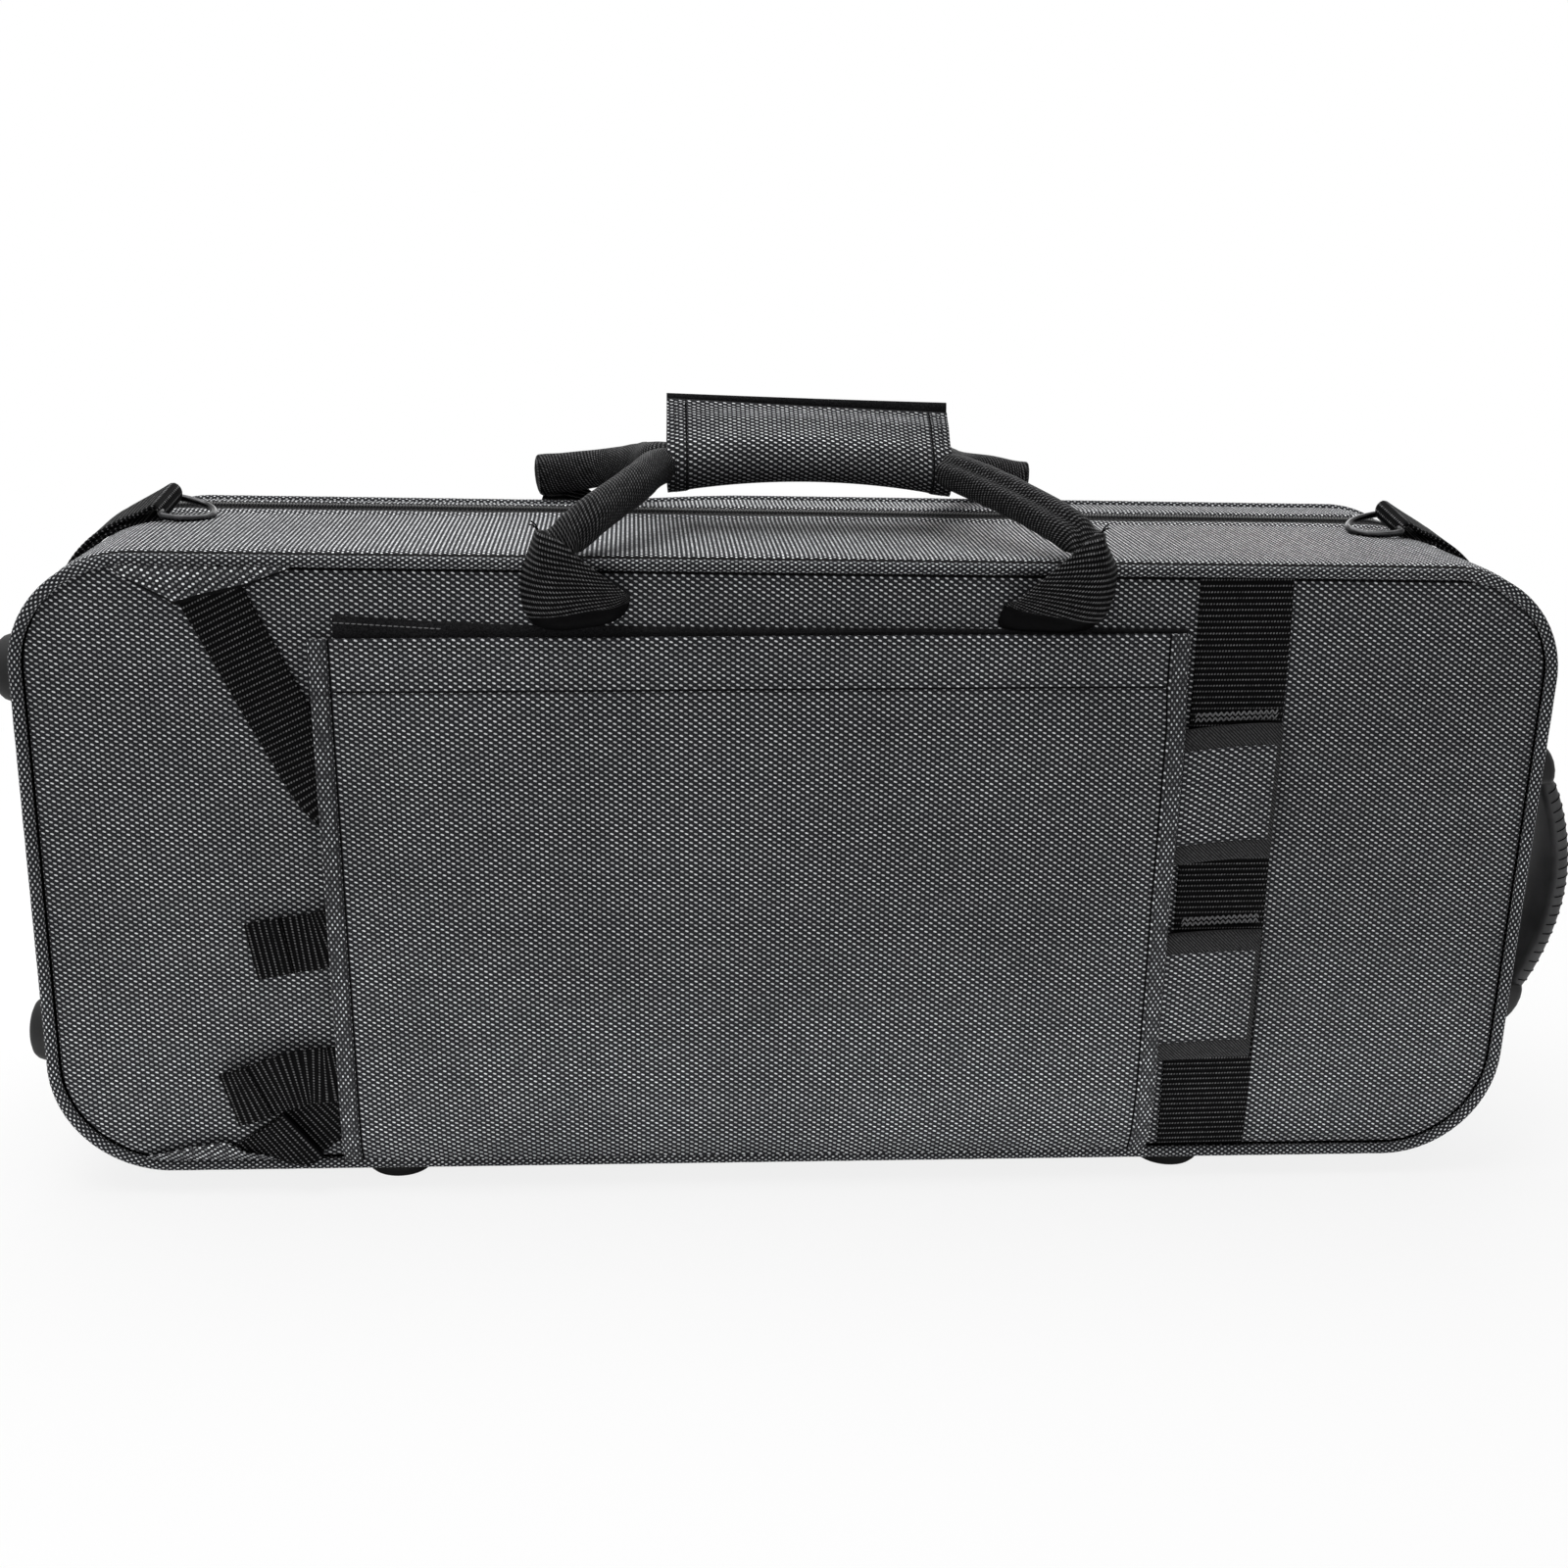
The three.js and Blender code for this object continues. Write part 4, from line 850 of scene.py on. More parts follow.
def add_cover():
    near = np.array([0, 0.25, 0.6, 1.1, 2.0, 4.0, 6.5, 8.4, 9.2, COVER_HEM])
    seam = COVER_HEM + SEAM_WIDE * np.array([0, 0.5, 1])
    after = COVER_HEM + np.array([SEAM_WIDE, 1.5, 2.4, 4, 7])
    middle = np.linspace(after[-1], COVER_WIDTH - after[-1], 66)[1:-1]
    inner = np.concatenate([after, middle, COVER_WIDTH - after[::-1]])
    top = np.array([0, 0.25, 0.6, 1.1, 2, 3.2, 4, 4.6, 5.2, 6, 8, 12, 17, 21, 23, 24, 24.7, 25.3, 26,
                    26.6, 27.2])
    line = np.array([27.2, 27.6, 28.1])
    low = np.concatenate([[28.1, 28.8, 30, 33], np.linspace(37, COVER_HEIGHT - 6, 46),
                          COVER_HEIGHT - np.array([3, 1.2, 0.5, 0.0])])
    downs = np.concatenate([top, line[1:], low[1:]])
    # The narrow bands beside the hems and along the stitched line are near-black: painted shade in the seam
    # grooves.
    blocks = [(near, downs, 1), (seam, downs, 2), (inner, top, 0), (inner, line, 2), (inner, low, 0),
              (COVER_WIDTH - seam[::-1], downs, 2), (COVER_WIDTH - near[::-1], downs, 1)]
    piece = Piece()
    for across, down, part in blocks:
        a, d = np.broadcast_arrays(across[None, :], down[:, None])
        lengths = 1.2 * stacked(d, a) if part == 1 else stacked(a, -d)
        rows, behind = cover_front(a, d), cover_back(a, d)
        piece.grid(rows, part=part, lengths=lengths)
        piece.grid(behind, lengths=lengths)
        for end, limit in ((0, 0), (-1, COVER_HEIGHT)):
            if down[end] == limit:
                piece.grid([rows[end], behind[end]])
    for across in (0.0, COVER_WIDTH):
        edge = np.full((len(downs), 1), across), downs[:, None]
        piece.grid(np.concatenate([cover_front(*edge), cover_back(*edge)], axis=1), part=1)
    cover = piece.build("strap_cover_panel", "strap_cover", [cloth, cloth_fold, dark_thread_and_shade], "woven_fabric",
                        ["strap_cover"], weld=0.02)

    seams = Piece()
    down = np.linspace(3, COVER_HEIGHT - 3, 90)
    across = np.linspace(COVER_HEM + 2, COVER_WIDTH - COVER_HEM - 2, 90)
    beside_hem = COVER_HEM - 1.3
    for a, d in ((beside_hem, down), (COVER_WIDTH - beside_hem, down), (across, 4.6), (across, 27.5)):
        line = cover_front(np.reshape(a, (1, -1)), np.reshape(d, (-1, 1))).reshape(-1, 3)
        stitched(seams, line, -BACK, pitch=3.4, length=2.4, radius=0.22)
    seams.build("strap_cover_stitches", "strap_cover", [thread], "woven_fabric")


def add_strips():
    """Hook strip sewn on the case, and the loop strip behind the cover's upper edge."""
    x = np.linspace(-240, 197, 120)
    shown = np.interp(x, (-240, -190, -140, 0, 120, 197.5), (308.6, 306.2, 304.4, 304.2, 305.2, 305.5))
    shown = shown + 0.25 * np.sin(x / 23)
    profile = [(0.0, 0.3), (0.0, 1.1), (0.05, 1.75), (0.2, 2.0), (0.5, 1.9), (0.8, 2.0), (0.96, 1.8),
               (1.0, 1.1), (1.0, 0.3), (0.0, 0.3)]
    piece = Piece()
    piece.grid([on_face(x, lerp(shown, 286.0, share), lift) for share, lift in profile], u=x)
    line = on_face(x, shown - lerp(3.6, 1.0, (x + 240) / 437), 2.05)
    stitched(piece, line[16:], -BACK, pitch=3.4, length=2.6, radius=0.3, part=1)
    stitched(piece, line[:16], -BACK, pitch=3.0, length=2.3, radius=0.36, part=2)
    piece.build("hook_strip_tape", "base", [hook, thread, tack_thread], "hook_and_loop", ["hook_strip"])

    x = np.linspace(-241, 191, 100)
    profile = [(298.0, 0.3), (298.4, 1.0), (297.8, 1.6), (292.5, 1.75), (287.6, 1.6), (287.0, 1.0),
               (287.4, 0.3), (298.0, 0.3)]
    rows = []
    for z, back in profile:
        height = z + lerp(-3.5, 4.0, (x + 241) / 432)
        rows.append(on_face(x, height, cover_lift(x, height) - back))
    piece = Piece()
    piece.grid(rows, u=x)
    piece.build("loop_strip_tape", "strap_cover", [hook], "hook_and_loop", ["loop_strip"])


add_cover()
add_strips()


# Shoulder straps, stowed under the cover

PAD_HALF = 37.5
BINDING_WIDTH = 12.5
PAD_MIDDLE_DEPTH = 2.85


def add_pad(name, node, middle, rise):
    """A padded strap between two bindings, a little higher at its right end."""

    def raised(length):
        return rise * smooth((length - 150) / 96)

    def seat(length):
        return -2.2 - 0.6 * smooth((length - 190) / 60)

    def puffed(across):
        return 1.1 + 1.75 * np.sqrt(np.maximum(1 - (across / (PAD_HALF + 1.0)) ** 2, 0))

    length = np.concatenate([[-150, -149.2, -147, -142], np.linspace(-132, 236, 42),
                             [240, 242.5, 245, 247, 248.6, 249.8, 250.8, 251.4, 251.8]])
    across = np.concatenate([[-PAD_HALF, -PAD_HALF + 0.2, -PAD_HALF + 0.7, -PAD_HALF + 2],
                             [-33, -29, -26.2, -25.3, -25, -24.6, -24, -22, -18, -12, -6, 0]])
    across = np.concatenate([across, -across[:-1][::-1]])
    is_binding = np.abs(across) > PAD_HALF - BINDING_WIDTH + 0.4
    puff = puffed(across) + np.where(is_binding, 0.42, 0.0)
    puff = puff * (1 - 0.55 * smooth((np.abs(across) - (PAD_HALF - 1.2)) / 1.2))
    end = np.sqrt(np.maximum(1 - (np.maximum(length - 243, 0) / 9.0) ** 2, 0.04))
    end = end - 0.6 * smooth((-148 - length) / 2)
    quilt = 0.11 * np.sin(length / 13)[:, None] * (np.abs(across) < 24)
    thick = (puff[None, :] + quilt) * end[:, None]
    x, z = np.broadcast_arrays(length[:, None], middle + raised(length)[:, None] + across[None, :])
    base = seat(length)[:, None]
    centre = base - PAD_MIDDLE_DEPTH
    front = on_face(x, z, thick - centre)
    back = on_face(x, z, -np.minimum(centre + thick, base))
    lengths = stacked(length[:, None] - length[0], across[None, :])
    piece = Piece()
    cuts = [k for k in range(1, len(across)) if is_binding[k] != is_binding[k - 1]]
    for first, last, part in ((0, cuts[0], 1), (cuts[0] - 1, cuts[1] + 1, 0), (cuts[1], len(across), 1)):
        for side in (front, back):
            piece.grid(side[:, first:last], part=part, lengths=lengths[:, first:last])
            # The last four rows of faces at the right end take the binding's dark tape: painted shade where
            # the pad rounds off.
            piece.parts[-1].reshape(len(length) - 1, -1)[-4:] = 1
    # The cap at the right end is dark too: painted shade.
    for k, part in ((0, 0), (-1, 1)):
        piece.grid([front[k], back[k]], part=part)
        piece.grid([front[:, k], back[:, k]], part=1)
    at = np.linspace(-146, 244, 120)
    for side in (-1, 1):
        offset = side * (PAD_HALF - BINDING_WIDTH + 1.6)
        lift = PAD_MIDDLE_DEPTH - seat(at) + puffed(offset) + 0.4
        stitched(piece, on_face(at, middle + raised(at) + offset, lift), -BACK, pitch=3.0, length=2.2,
                 radius=0.24, part=2)
    pad = piece.build(name, "base", [cloth, binding_and_end_shade, thread], "strap_padding", [node])


add_pad("upper_strap_pad", "upper_shoulder_strap", 210.0, 9.0)
add_pad("lower_strap_pad", "lower_shoulder_strap", 97.0, 5.5)


# Flat webbing on the front

BAND_WIDTH = 32.0
BAND_THICKNESS = 1.5
BAND_POINTS = 60


def face_strap(name, node, points, lift, folded=None, flap=None, limit=None):
    """Webbing on the face along points of x and z. A flap is a second layer, given as x, z and lift."""
    flat = curved(points, BAND_POINTS)
    lift = np.interp(np.linspace(0, 1, BAND_POINTS), np.linspace(0, 1, len(lift)), lift)
    line = on_face(flat[:, 0], flat[:, 1], lift + BAND_THICKNESS / 2)
    sides = np.cross(-BACK, headings(line))
    thin = BAND_THICKNESS * 0.9
    piece = Piece()
    strap(piece, line, sides, BAND_WIDTH, BAND_THICKNESS, limit=limit)
    if folded:
        size = int(BAND_POINTS * folded)
        doubled = line[:size] - thin * BACK
        strap(piece, doubled, sides[:size], BAND_WIDTH - 0.4, thin)
        tack = int(size * 0.72)
        mark = doubled[tack] - BAND_THICKNESS / 2 * BACK
        reach = unit(sides[tack]) * (BAND_WIDTH / 2 - 2)
        stitched(piece, [mark - reach, mark + reach], -BACK, pitch=2.4, length=2.0, radius=0.26, part=1)
    if flap:
        loop = curved(flap, 40)
        away = unit(vec(flap[3][0] - flap[0][0], 0, flap[3][1] - flap[0][1]))
        line = on_face(loop[:, 0], loop[:, 1], loop[:, 2] + BAND_THICKNESS / 2)
        strap(piece, line, np.cross(-BACK, away), BAND_WIDTH, thin, limit=limit)
    piece.build(name, "base", [webbing, thread], "webbing", [node])


def zigzag(piece, start, end, width, pitch=1.5):
    """A dense tack across webbing."""
    count = int(np.linalg.norm(end - start) / pitch)
    side = np.cross(-BACK, unit(end - start))
    line = [lerp(start, end, k / count) + side * (width / 2 if k % 2 else -width / 2)
            for k in range(count + 1)]
    step = np.linalg.norm(line[1] - line[0])
    stitched(piece, line, -BACK, pitch=step, length=step * 1.05, radius=0.46, part=1)


def add_wide_webbing():
    z = np.concatenate([np.linspace(333, 262, 24), np.linspace(258, 138, 30), np.linspace(134, 8, 34)])
    piece = Piece()
    strap(piece, on_face(lerp(226.3, 231.0, (333 - z) / 325), z, 1.1), RIGHT, 50.0, 1.6, across=12)
    for height, left, right in ((259.5, 205.0, 249.0), (144.5, 208.0, 250.5)):
        for drop in (0.0, 2.7):
            zigzag(piece, *on_face([left, right], [height - drop, height + 2.4 - drop], 2.2), 2.4)
    piece.build("wide_webbing_strap", "base", [webbing, tack_thread], "webbing", ["wide_webbing"])


add_wide_webbing()
face_strap("upper_strap_band", "upper_strap_webbing",
           [(-305.6, 331), (-286, 293), (-264.5, 250), (-244, 213), (-222, 205), (-188, 210)],
           [0.2, 1.0, 1.6, 1.2, 0.6, 0.6])
face_strap("lower_strap_band", "lower_strap_webbing",
           [(-289, 5.5), (-280, 12.5), (-268, 22.2), (-256, 32), (-244, 43), (-226, 62), (-206, 82),
            (-184, 93)],
           [0.4, 0.5, 0.6, 0.6, 0.6, 0.6, 0.6],
           flap=[(-300.0, -2.5, 1.6), (-286.0, 8.6, 3.4), (-274.5, 17.4, 6.4), (-268.5, 22.1, 7.4),
                 (-266.6, 23.6, 6.4), (-267.6, 22.8, 5.0), (-274.0, 17.8, 3.6)],
           limit=((-309.0, -299.0, -269.5), (18.0, 11.3, 5.0)))
face_strap("upper_strap_tail_end", "upper_strap_tail",
           [(-289, 129), (-270, 132.5), (-250, 136), (-235, 145), (-219, 170), (-207, 196), (-189, 210)],
           [2.3, 2.5, 2.6, 2.6, 2.6, 2.6, 2.6], folded=0.16)
face_strap("lower_strap_tail_end", "lower_strap_tail",
           [(-305, 43.6), (-296, 46.4), (-286, 50.8), (-276, 55.0), (-264, 57.8), (-250, 58.0), (-234, 63),
            (-212, 82), (-189, 93)],
           [2.6, 4.6, 7.0, 4.2, 2.3, 2.1, 2.1, 2.1, 2.1], folded=0.16)


def add_patch(name, node, edge, lift):
    """A folded cloth patch sewn into the seam over a webbing's end, with x and z along its free edge."""
    edge = np.array(edge)
    x = np.linspace(edge[0, 0], edge[-1, 0], 71)
    free = np.interp(x, edge[:, 0], edge[:, 1])
    rim = HEIGHT - CORNER + np.sqrt((CORNER - 5.2) ** 2 - np.maximum(-x - (HALF_LENGTH - CORNER), 0) ** 2)
    low = free[0] < HEIGHT / 2
    seam, way = (HEIGHT - rim, 1.0) if low else (rim, -1.0)
    reach = np.maximum(np.abs(seam - free), 0.3)
    lower = reach / reach.max()
    tip = x[np.argmax(reach)]
    rows = []
    for t in np.concatenate([np.linspace(0, 0.72, 12), [0.78, 0.81, 0.84, 0.9, 0.95, 0.98, 1.0]]):
        ridge = 1.3 * hump(x, tip + 5 * (1 - t), 3.2) * t
        crease = 0.9 * hump(x, tip - 9 + 5 * t, 1.9) * t
        hem = 0.9 * smooth((t - 0.8) / 0.04) * (1 - 0.7 * smooth((t - 0.96) / 0.04))
        folds = (1.4 * math.sin(math.pi * t) + ridge - crease + hem) * lower * min(reach.max() / 20, 1)
        rows.append(on_face(x, seam + way * reach * t, lerp(2.0, lift, t) + folds))
    rows = np.array(rows)
    back = rows + 1.4 * BACK
    lengths = stacked(rows[..., 0] + 0.5 * rows[..., 2], rows[..., 2] * 1.25)
    piece = Piece()
    piece.grid(rows, lengths=lengths)
    piece.grid(back, lengths=lengths)
    # For the upper patch the strip closing its free edge and a strip reaching back towards the face are
    # near-black: painted shadow under the edge.
    piece.grid([rows[-1], back[-1]], part=0 if low else 2)
    piece.grid([rows[0], back[0]])
    if not low:
        piece.grid([back[-1], back[-1] + stacked(0, 1.4 * lower, -2.4 * lower ** 0.5)], part=2)
    stitched(piece, rows[12][2:-2], -BACK, pitch=3.0, length=2.2, radius=0.26, part=1)
    patch = piece.build(name, "base", [patch_cloth, thread, dark_thread_and_shade], "woven_fabric", [node])


add_patch("upper_corner_patch", "upper_patch",
          [(-350.0, 333.4), (-333.0, 324.4), (-316.0, 315.7), (-302.5, 319.8), (-281.0, 324.9),
           (-259.0, 333.0)], 4.4)
add_patch("lower_corner_patch", "lower_patch",
          [(-351.0, 10.2), (-330.0, 15.1), (-317.0, 17.3), (-309.0, 19.0), (-299.0, 12.3),
           (-269.5, 5.6)], 5.4)


# Carrying handles

GRIP_MIDDLE = 3.0
GRIP_HALF = 77.0
GRIP_ARCH = 7.0
ROPE_RADIUS = 8.8
ROPE_WIDE = 8.2
ROPE_TALL = 10.6
ROPE_WIND = 21.0
ROPE_GAP = ROPE_RADIUS + 0.6
STRAND_HEIGHT = 372.0
ROOT_REACH = 125.0
FRONT_LEGS = (
    [(-129.0, -3.0, 344.5), (-118.0, 4.5, 352.6), (-108.5, 14.5, 359.2), (-89.0, 45.0, 369.2)],
    [(142.0, -3.5, 348.5), (133.0, 5.0, 354.8), (126.0, 14.5, 358.8), (107.0, 43.0, 366.9)],
)
REAR_LEGS = (
    [(-145.5, -3.0, 351.4), (-136.0, -3.4, 352.4), (-119.5, 0.0, 355.0), (-101.0, 10.0, 359.2),
     (-84.0, 42.0, 366.4)],
    [(148.0, -3.0, 351.6), (139.5, -3.4, 352.8), (124.0, 0.0, 356.4), (106.0, 11.0, 360.2),
     (92.0, 42.0, 367.0)],
)


def mirrored(points, front):
    points = np.array(points, float)
    if not front:
        points[..., 1] = DEPTH - points[..., 1]
    return points


def add_rope(name, node, body, front):
    """Webbing rolled in two lobes, flat where it is sewn down and round through the grip."""
    near, far = FRONT_LEGS if front else REAR_LEGS
    through = [(-80, 79.0, 373.8), *((x, DEPTH / 2 - ROPE_GAP, z) for x, z in (
        (-64, 374.8), (-30, 378.3), (0, 379.0), (30, 378.3), (64, 374.8))), (80, 79.0, 373.8)]
    line = curved([*near, *(np.array(through) + GRIP_MIDDLE * RIGHT), *far[::-1]], 170)
    run = running(line)
    share = run / run[-1]
    from_end = np.minimum(run, run[-1] - run)[:, None]
    loose = smooth(from_end / 12) if front else np.ones_like(from_end)
    stout = 1 + (0.0 if front else 0.12) * (1 - smooth(from_end / 45))
    held = smooth((from_end - 85) / 40)
    forward = headings(line)
    square = RIGHT * np.sign(forward[:, 1:2] + 1e-9)
    sides = unit(lerp(square, unit(np.cross(forward, UP)), loose))
    angles = full_turn(36)
    facing = 5.5
    lobes = hump(angles, facing - 0.8, 0.5) + hump(angles, facing + 0.75, 0.5)
    depth = 0.3 * smooth((line[:, 0:1] - 20) / 60) + 0.04
    shape = 1 + 0.03 * np.cos(3 * angles + 1.1) - depth * (1 - held) * hump(angles, facing, 0.26)
    shape = shape + lerp(0.05, 0.0, held) * lobes
    shape = shape * (1 + 0.012 * np.sin(share * 90 + 2 * np.sin(share * 31)))[:, None] * stout
    width = lerp(lerp(11.0, ROPE_WIDE, loose), ROPE_RADIUS, held)
    thick = lerp(lerp(5.5, ROPE_TALL, loose), ROPE_RADIUS, held)
    section = stacked(width * np.cos(angles) * shape, thick * np.sin(angles) * shape)
    rows = mirrored(swept(line, sides, section), front)
    part_turn = np.arange(37) / 36
    u = math.tau * 9.5 * part_turn
    piece = Piece()
    piece.grid(rows, closed=True, lengths=stacked(u[None, :], run[:, None] + ROPE_WIND * part_turn[None, :]))
    away = headings(mirrored(line, front))
    for end, step in ((0, -1), (-1, 1)):
        middle = rows[end].mean(axis=0)
        dome = [middle + (rows[end] - middle) * size + away[end] * step * bulge
                for size, bulge in ((1.0, 0.0), (0.92, 1.2), (0.7, 2.2), (0.35, 2.9), (0.02, 3.1))]
        piece.grid(dome, closed=True, u=u, v=[0, -1, -2, -3, -4])
    piece.build(name, body, [rope_webbing], "webbing", [node])


# A sewn handle end at rising heights: its reach outwards, its reach inwards and how far it stands out
ROOT_SHAPES = {
    -1: [(302.5, 16.0, 20.0, 6.0), (305.5, 18.5, 26.0, 12.0), (310.0, 22.0, 28.8, 14.5),
         (317.5, 24.3, 29.4, 16.0), (326.0, 24.6, 22.5, 17.0), (334.0, 23.4, 13.5, 17.5),
         (342.0, 20.8, 4.0, 17.0), (348.0, 18.8, -2.8, 15.0), (352.0, 17.4, -9.5, 12.5),
         (354.0, 16.4, -12.4, 10.0)],
    1: [(303.5, 14.0, 26.0, 6.0), (306.0, 18.5, 30.0, 12.0), (312.0, 25.0, 29.2, 14.5),
        (320.0, 28.0, 25.0, 16.0), (330.0, 29.5, 15.0, 17.0), (338.0, 28.6, 6.5, 17.5),
        (345.0, 25.4, -1.6, 16.5), (350.5, 22.4, -8.2, 14.5), (354.0, 20.6, -12.4, 12.0),
        (356.0, 19.6, -15.2, 10.0)],
}
# Loose threads at a root's tip: how far each goes sideways and up
LOOSE_THREADS = ((5.0, 2.6), (4.2, 4.2), (3.0, 1.2))


def add_anchor(name, node, front, side):
    """The rope's webbing folded, opened to its full width and sewn on the face, with an open mouth below that
    is painted near-black as shade.
    """
    middle = GRIP_MIDDLE + side * ROOT_REACH
    shares = (1 - np.cos(np.linspace(0, math.pi, 26))) / 2
    wrapped = np.sin(math.pi / 2 * np.minimum(shares / 0.34, 1)) ** 0.75
    closing = np.sin(math.pi / 2 * np.minimum((1 - shares) / 0.2, 1)) ** 0.75
    rows, marks = [], []
    for z, outward, inward, stand in curved(ROOT_SHAPES[side], 52):
        up = (z - 303.5) / 50
        outer, inner = middle + side * outward, middle - side * inward
        open_side = smooth((z - 315) / 7)
        x = lerp(outer, inner, shares)
        height = z + (4.2 if side < 0 else 1.0) * (1 - up) * np.maximum(-side * (x - middle) / 25, 0)
        form = wrapped * lerp(closing, 1 - 0.1 * shares, open_side)
        facet = 1 + 0.06 * hump(shares, 0.32 + 0.25 * up, 0.1)
        lip = 307.5 + 0.16 * -side * (x - outer)
        mouth = 1 - smooth((height - lip) / 2.2)
        face = -stand * form * facet * (1 - 0.62 * mouth) - 0.4
        rear = lerp(-0.2, -2.2, smooth((z - 326) / 9)) + 2.0 * smooth((z - 341) / 4)
        sheet = open_side * smooth((shares - 0.08) / 0.4)
        back = np.minimum(lerp(rear, face + 3.0, sheet), face + 3.0 + 30 * (1 - sheet))
        fold = [inner - side * 0.7, (face[-1] + back[-1]) / 2, height[-1], mouth[-1]]
        shown, hidden = stacked(x, face, height, mouth), stacked(x, back, height, mouth)
        ring = np.concatenate([shown, [fold], hidden[::-1]])
        rows.append(ring[:, :3])
        marks.append(ring[:, 3])
    rows, marks = np.array(rows), np.array(marks)
    arc = np.concatenate([rows, rows[:, :1]], axis=1)
    spread = np.linalg.norm(np.diff(arc, axis=1), axis=2)
    wound = np.concatenate([np.zeros((len(rows), 1)), np.cumsum(spread, axis=1)], axis=1)
    meet_x, meet_z = middle - side * 62.0, 326.0 if side < 0 else 332.0
    ribs = 84.0 * (arc[..., 2] - meet_z) / np.maximum(np.abs(arc[..., 0] - meet_x), 8.0)
    rows = mirrored(rows, front)
    piece = Piece()
    piece.grid(rows, closed=True, lengths=stacked(wound, ribs))
    # Faces in the mouth and the bottom cap are near-black: painted shade inside the opening.
    piece.parts[-1] = ((marks[:-1] + marks[1:]) / 2 > 0.5).ravel().astype(int)
    piece.cap(rows[0], part=1)
    piece.cap(rows[-1])
    if front:
        tip = rows[-1].mean(axis=0)
        for number, (reach, high) in enumerate(LOOSE_THREADS):
            end = tip + vec(side * reach, (number - 1) * 0.8, high)
            strand = curved([tip - 1.5 * UP, lerp(tip, end, 0.5) + 0.6 * UP, end], 7)
            piece.grid(swept(strand, BACK, circle(0.42, 6)), closed=True, part=1)
    root = piece.build(name, None, [root_webbing, dark_thread_and_shade], "webbing", [node])
    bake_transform(root)


GRIP_SEAMS = vec(0.862, 0.874)
GRIP_TOP = 409.0
GRIP_SKIN = ROPE_RADIUS + 4.4
GRIP_LINING = ROPE_RADIUS + 1.3


def add_wrap(name, node, body, front):
    """Half of the padded wrap: round under a rope, then flat up to the closure along the top."""
    along = np.sort(np.concatenate([np.linspace(-1, 1, 68), GRIP_SEAMS, -GRIP_SEAMS]))
    bottom = STRAND_HEIGHT - GRIP_SKIN
    height = GRIP_TOP - bottom
    tall = 1.17 * GRIP_SKIN
    roll = vec(ROPE_GAP, tall) + vec(GRIP_SKIN, tall) * direction(np.linspace(-90, 54, 24)[1:])
    t = np.linspace(0, 1, 12)[1:]
    flat = stacked(lerp(roll[-1, 0], 3.4, t) - 2.2 * np.sin(math.pi * t) * (1 - t),
                   lerp(roll[-1, 1], height, t))
    outer = np.array([(0.15, 0.0), (2.5, -0.2), *roll, *flat,
                      (3.0, height + 0.7), (1.6, height + 0.9), (0.15, height + 0.6)])
    lining = vec(ROPE_GAP, GRIP_SKIN) + GRIP_LINING * direction(np.linspace(62, -90, 14))
    inner = np.array([(0.15, height - 1.5), (0.15, height - 8), *lining, (0.15, 3.0)])
    centre = vec(ROPE_GAP * 0.6, GRIP_SKIN)

    def section(profile, share, extra):
        body_part = (profile[:, 0] > 1) & (profile[:, 1] < height - 1)
        pinch = 1 - 0.035 * smooth((abs(share) - 0.9) / 0.1) * body_part
        across, high = (centre + (profile - centre) * ((1 + extra / 14.0 * body_part) * pinch)[:, None]).T
        end = 1 - 0.10 * smooth((abs(share) - 0.93) / 0.07)
        slack = 0.5 * math.sin(7 * share + 0.5) * np.sin(high / 7.0) * body_part
        x = GRIP_MIDDLE + GRIP_HALF * share + 2.5 - 2.0 * (high / height - 0.35) * (1.0 if share > 0 else 0.4)
        lift = GRIP_ARCH * (1 - share ** 2) * (1 - (high / height) ** 2) - 1.2 * share * (high / height)
        if front:
            lift = lift - lerp(2.4, 5.0, (share + 1) / 2) * smooth((high - height + 13) / 12)
        return stacked(x, DEPTH / 2 - (across + slack * end), bottom + high + lift)

    outside = [section(outer, share, 0.5 * smooth((abs(share) - 0.845) / 0.02)) for share in along]
    outside = mirrored(outside, front)
    inside = mirrored([section(inner, share, 0.0) for share in along], front)
    up = running(outer)
    up = up + 0.45 * np.maximum(up - up[24], 0)
    lengths = stacked(GRIP_HALF * along[:, None], up[None, :])
    closure = len(outer) - 3
    piece = Piece()
    piece.grid(outside[:, :closure + 1], lengths=lengths[:, :closure + 1])
    halfway = np.abs(along[1:] + along[:-1]) / 2
    in_seam = (halfway > GRIP_SEAMS[0]) & (halfway < GRIP_SEAMS[1])
    piece.parts[-1].reshape(len(along) - 1, -1)[in_seam] = 3
    piece.grid(outside[:, closure:], part=1, lengths=lengths[:, closure:])
    piece.grid(inside, part=1)
    for end in (0, -1):
        piece.cap(np.concatenate([outside[end], inside[end]]), part=1)
    piece.grid(np.stack([outside[:, -1], inside[:, 0]], axis=1), part=1)
    piece.grid(np.stack([inside[:, -1], outside[:, 0]], axis=1), part=1)
    for share in (-0.955, -0.87, 0.87, 0.955):
        line = outside[np.argmin(np.abs(along - share)), 3:closure - 1]
        outward = unit(np.cross(np.gradient(line, axis=0), RIGHT))
        outward = outward * np.sign(outward[:, 1:2] * (-1 if front else 1) + 1e-9)
        stitched(piece, line + outward * 0.12, outward, pitch=3.0, length=2.2, radius=0.28, part=2)
    wrap = piece.build(name, body, [grip_cloth, hook, thread, dark_thread_and_shade], "woven_fabric", [node])


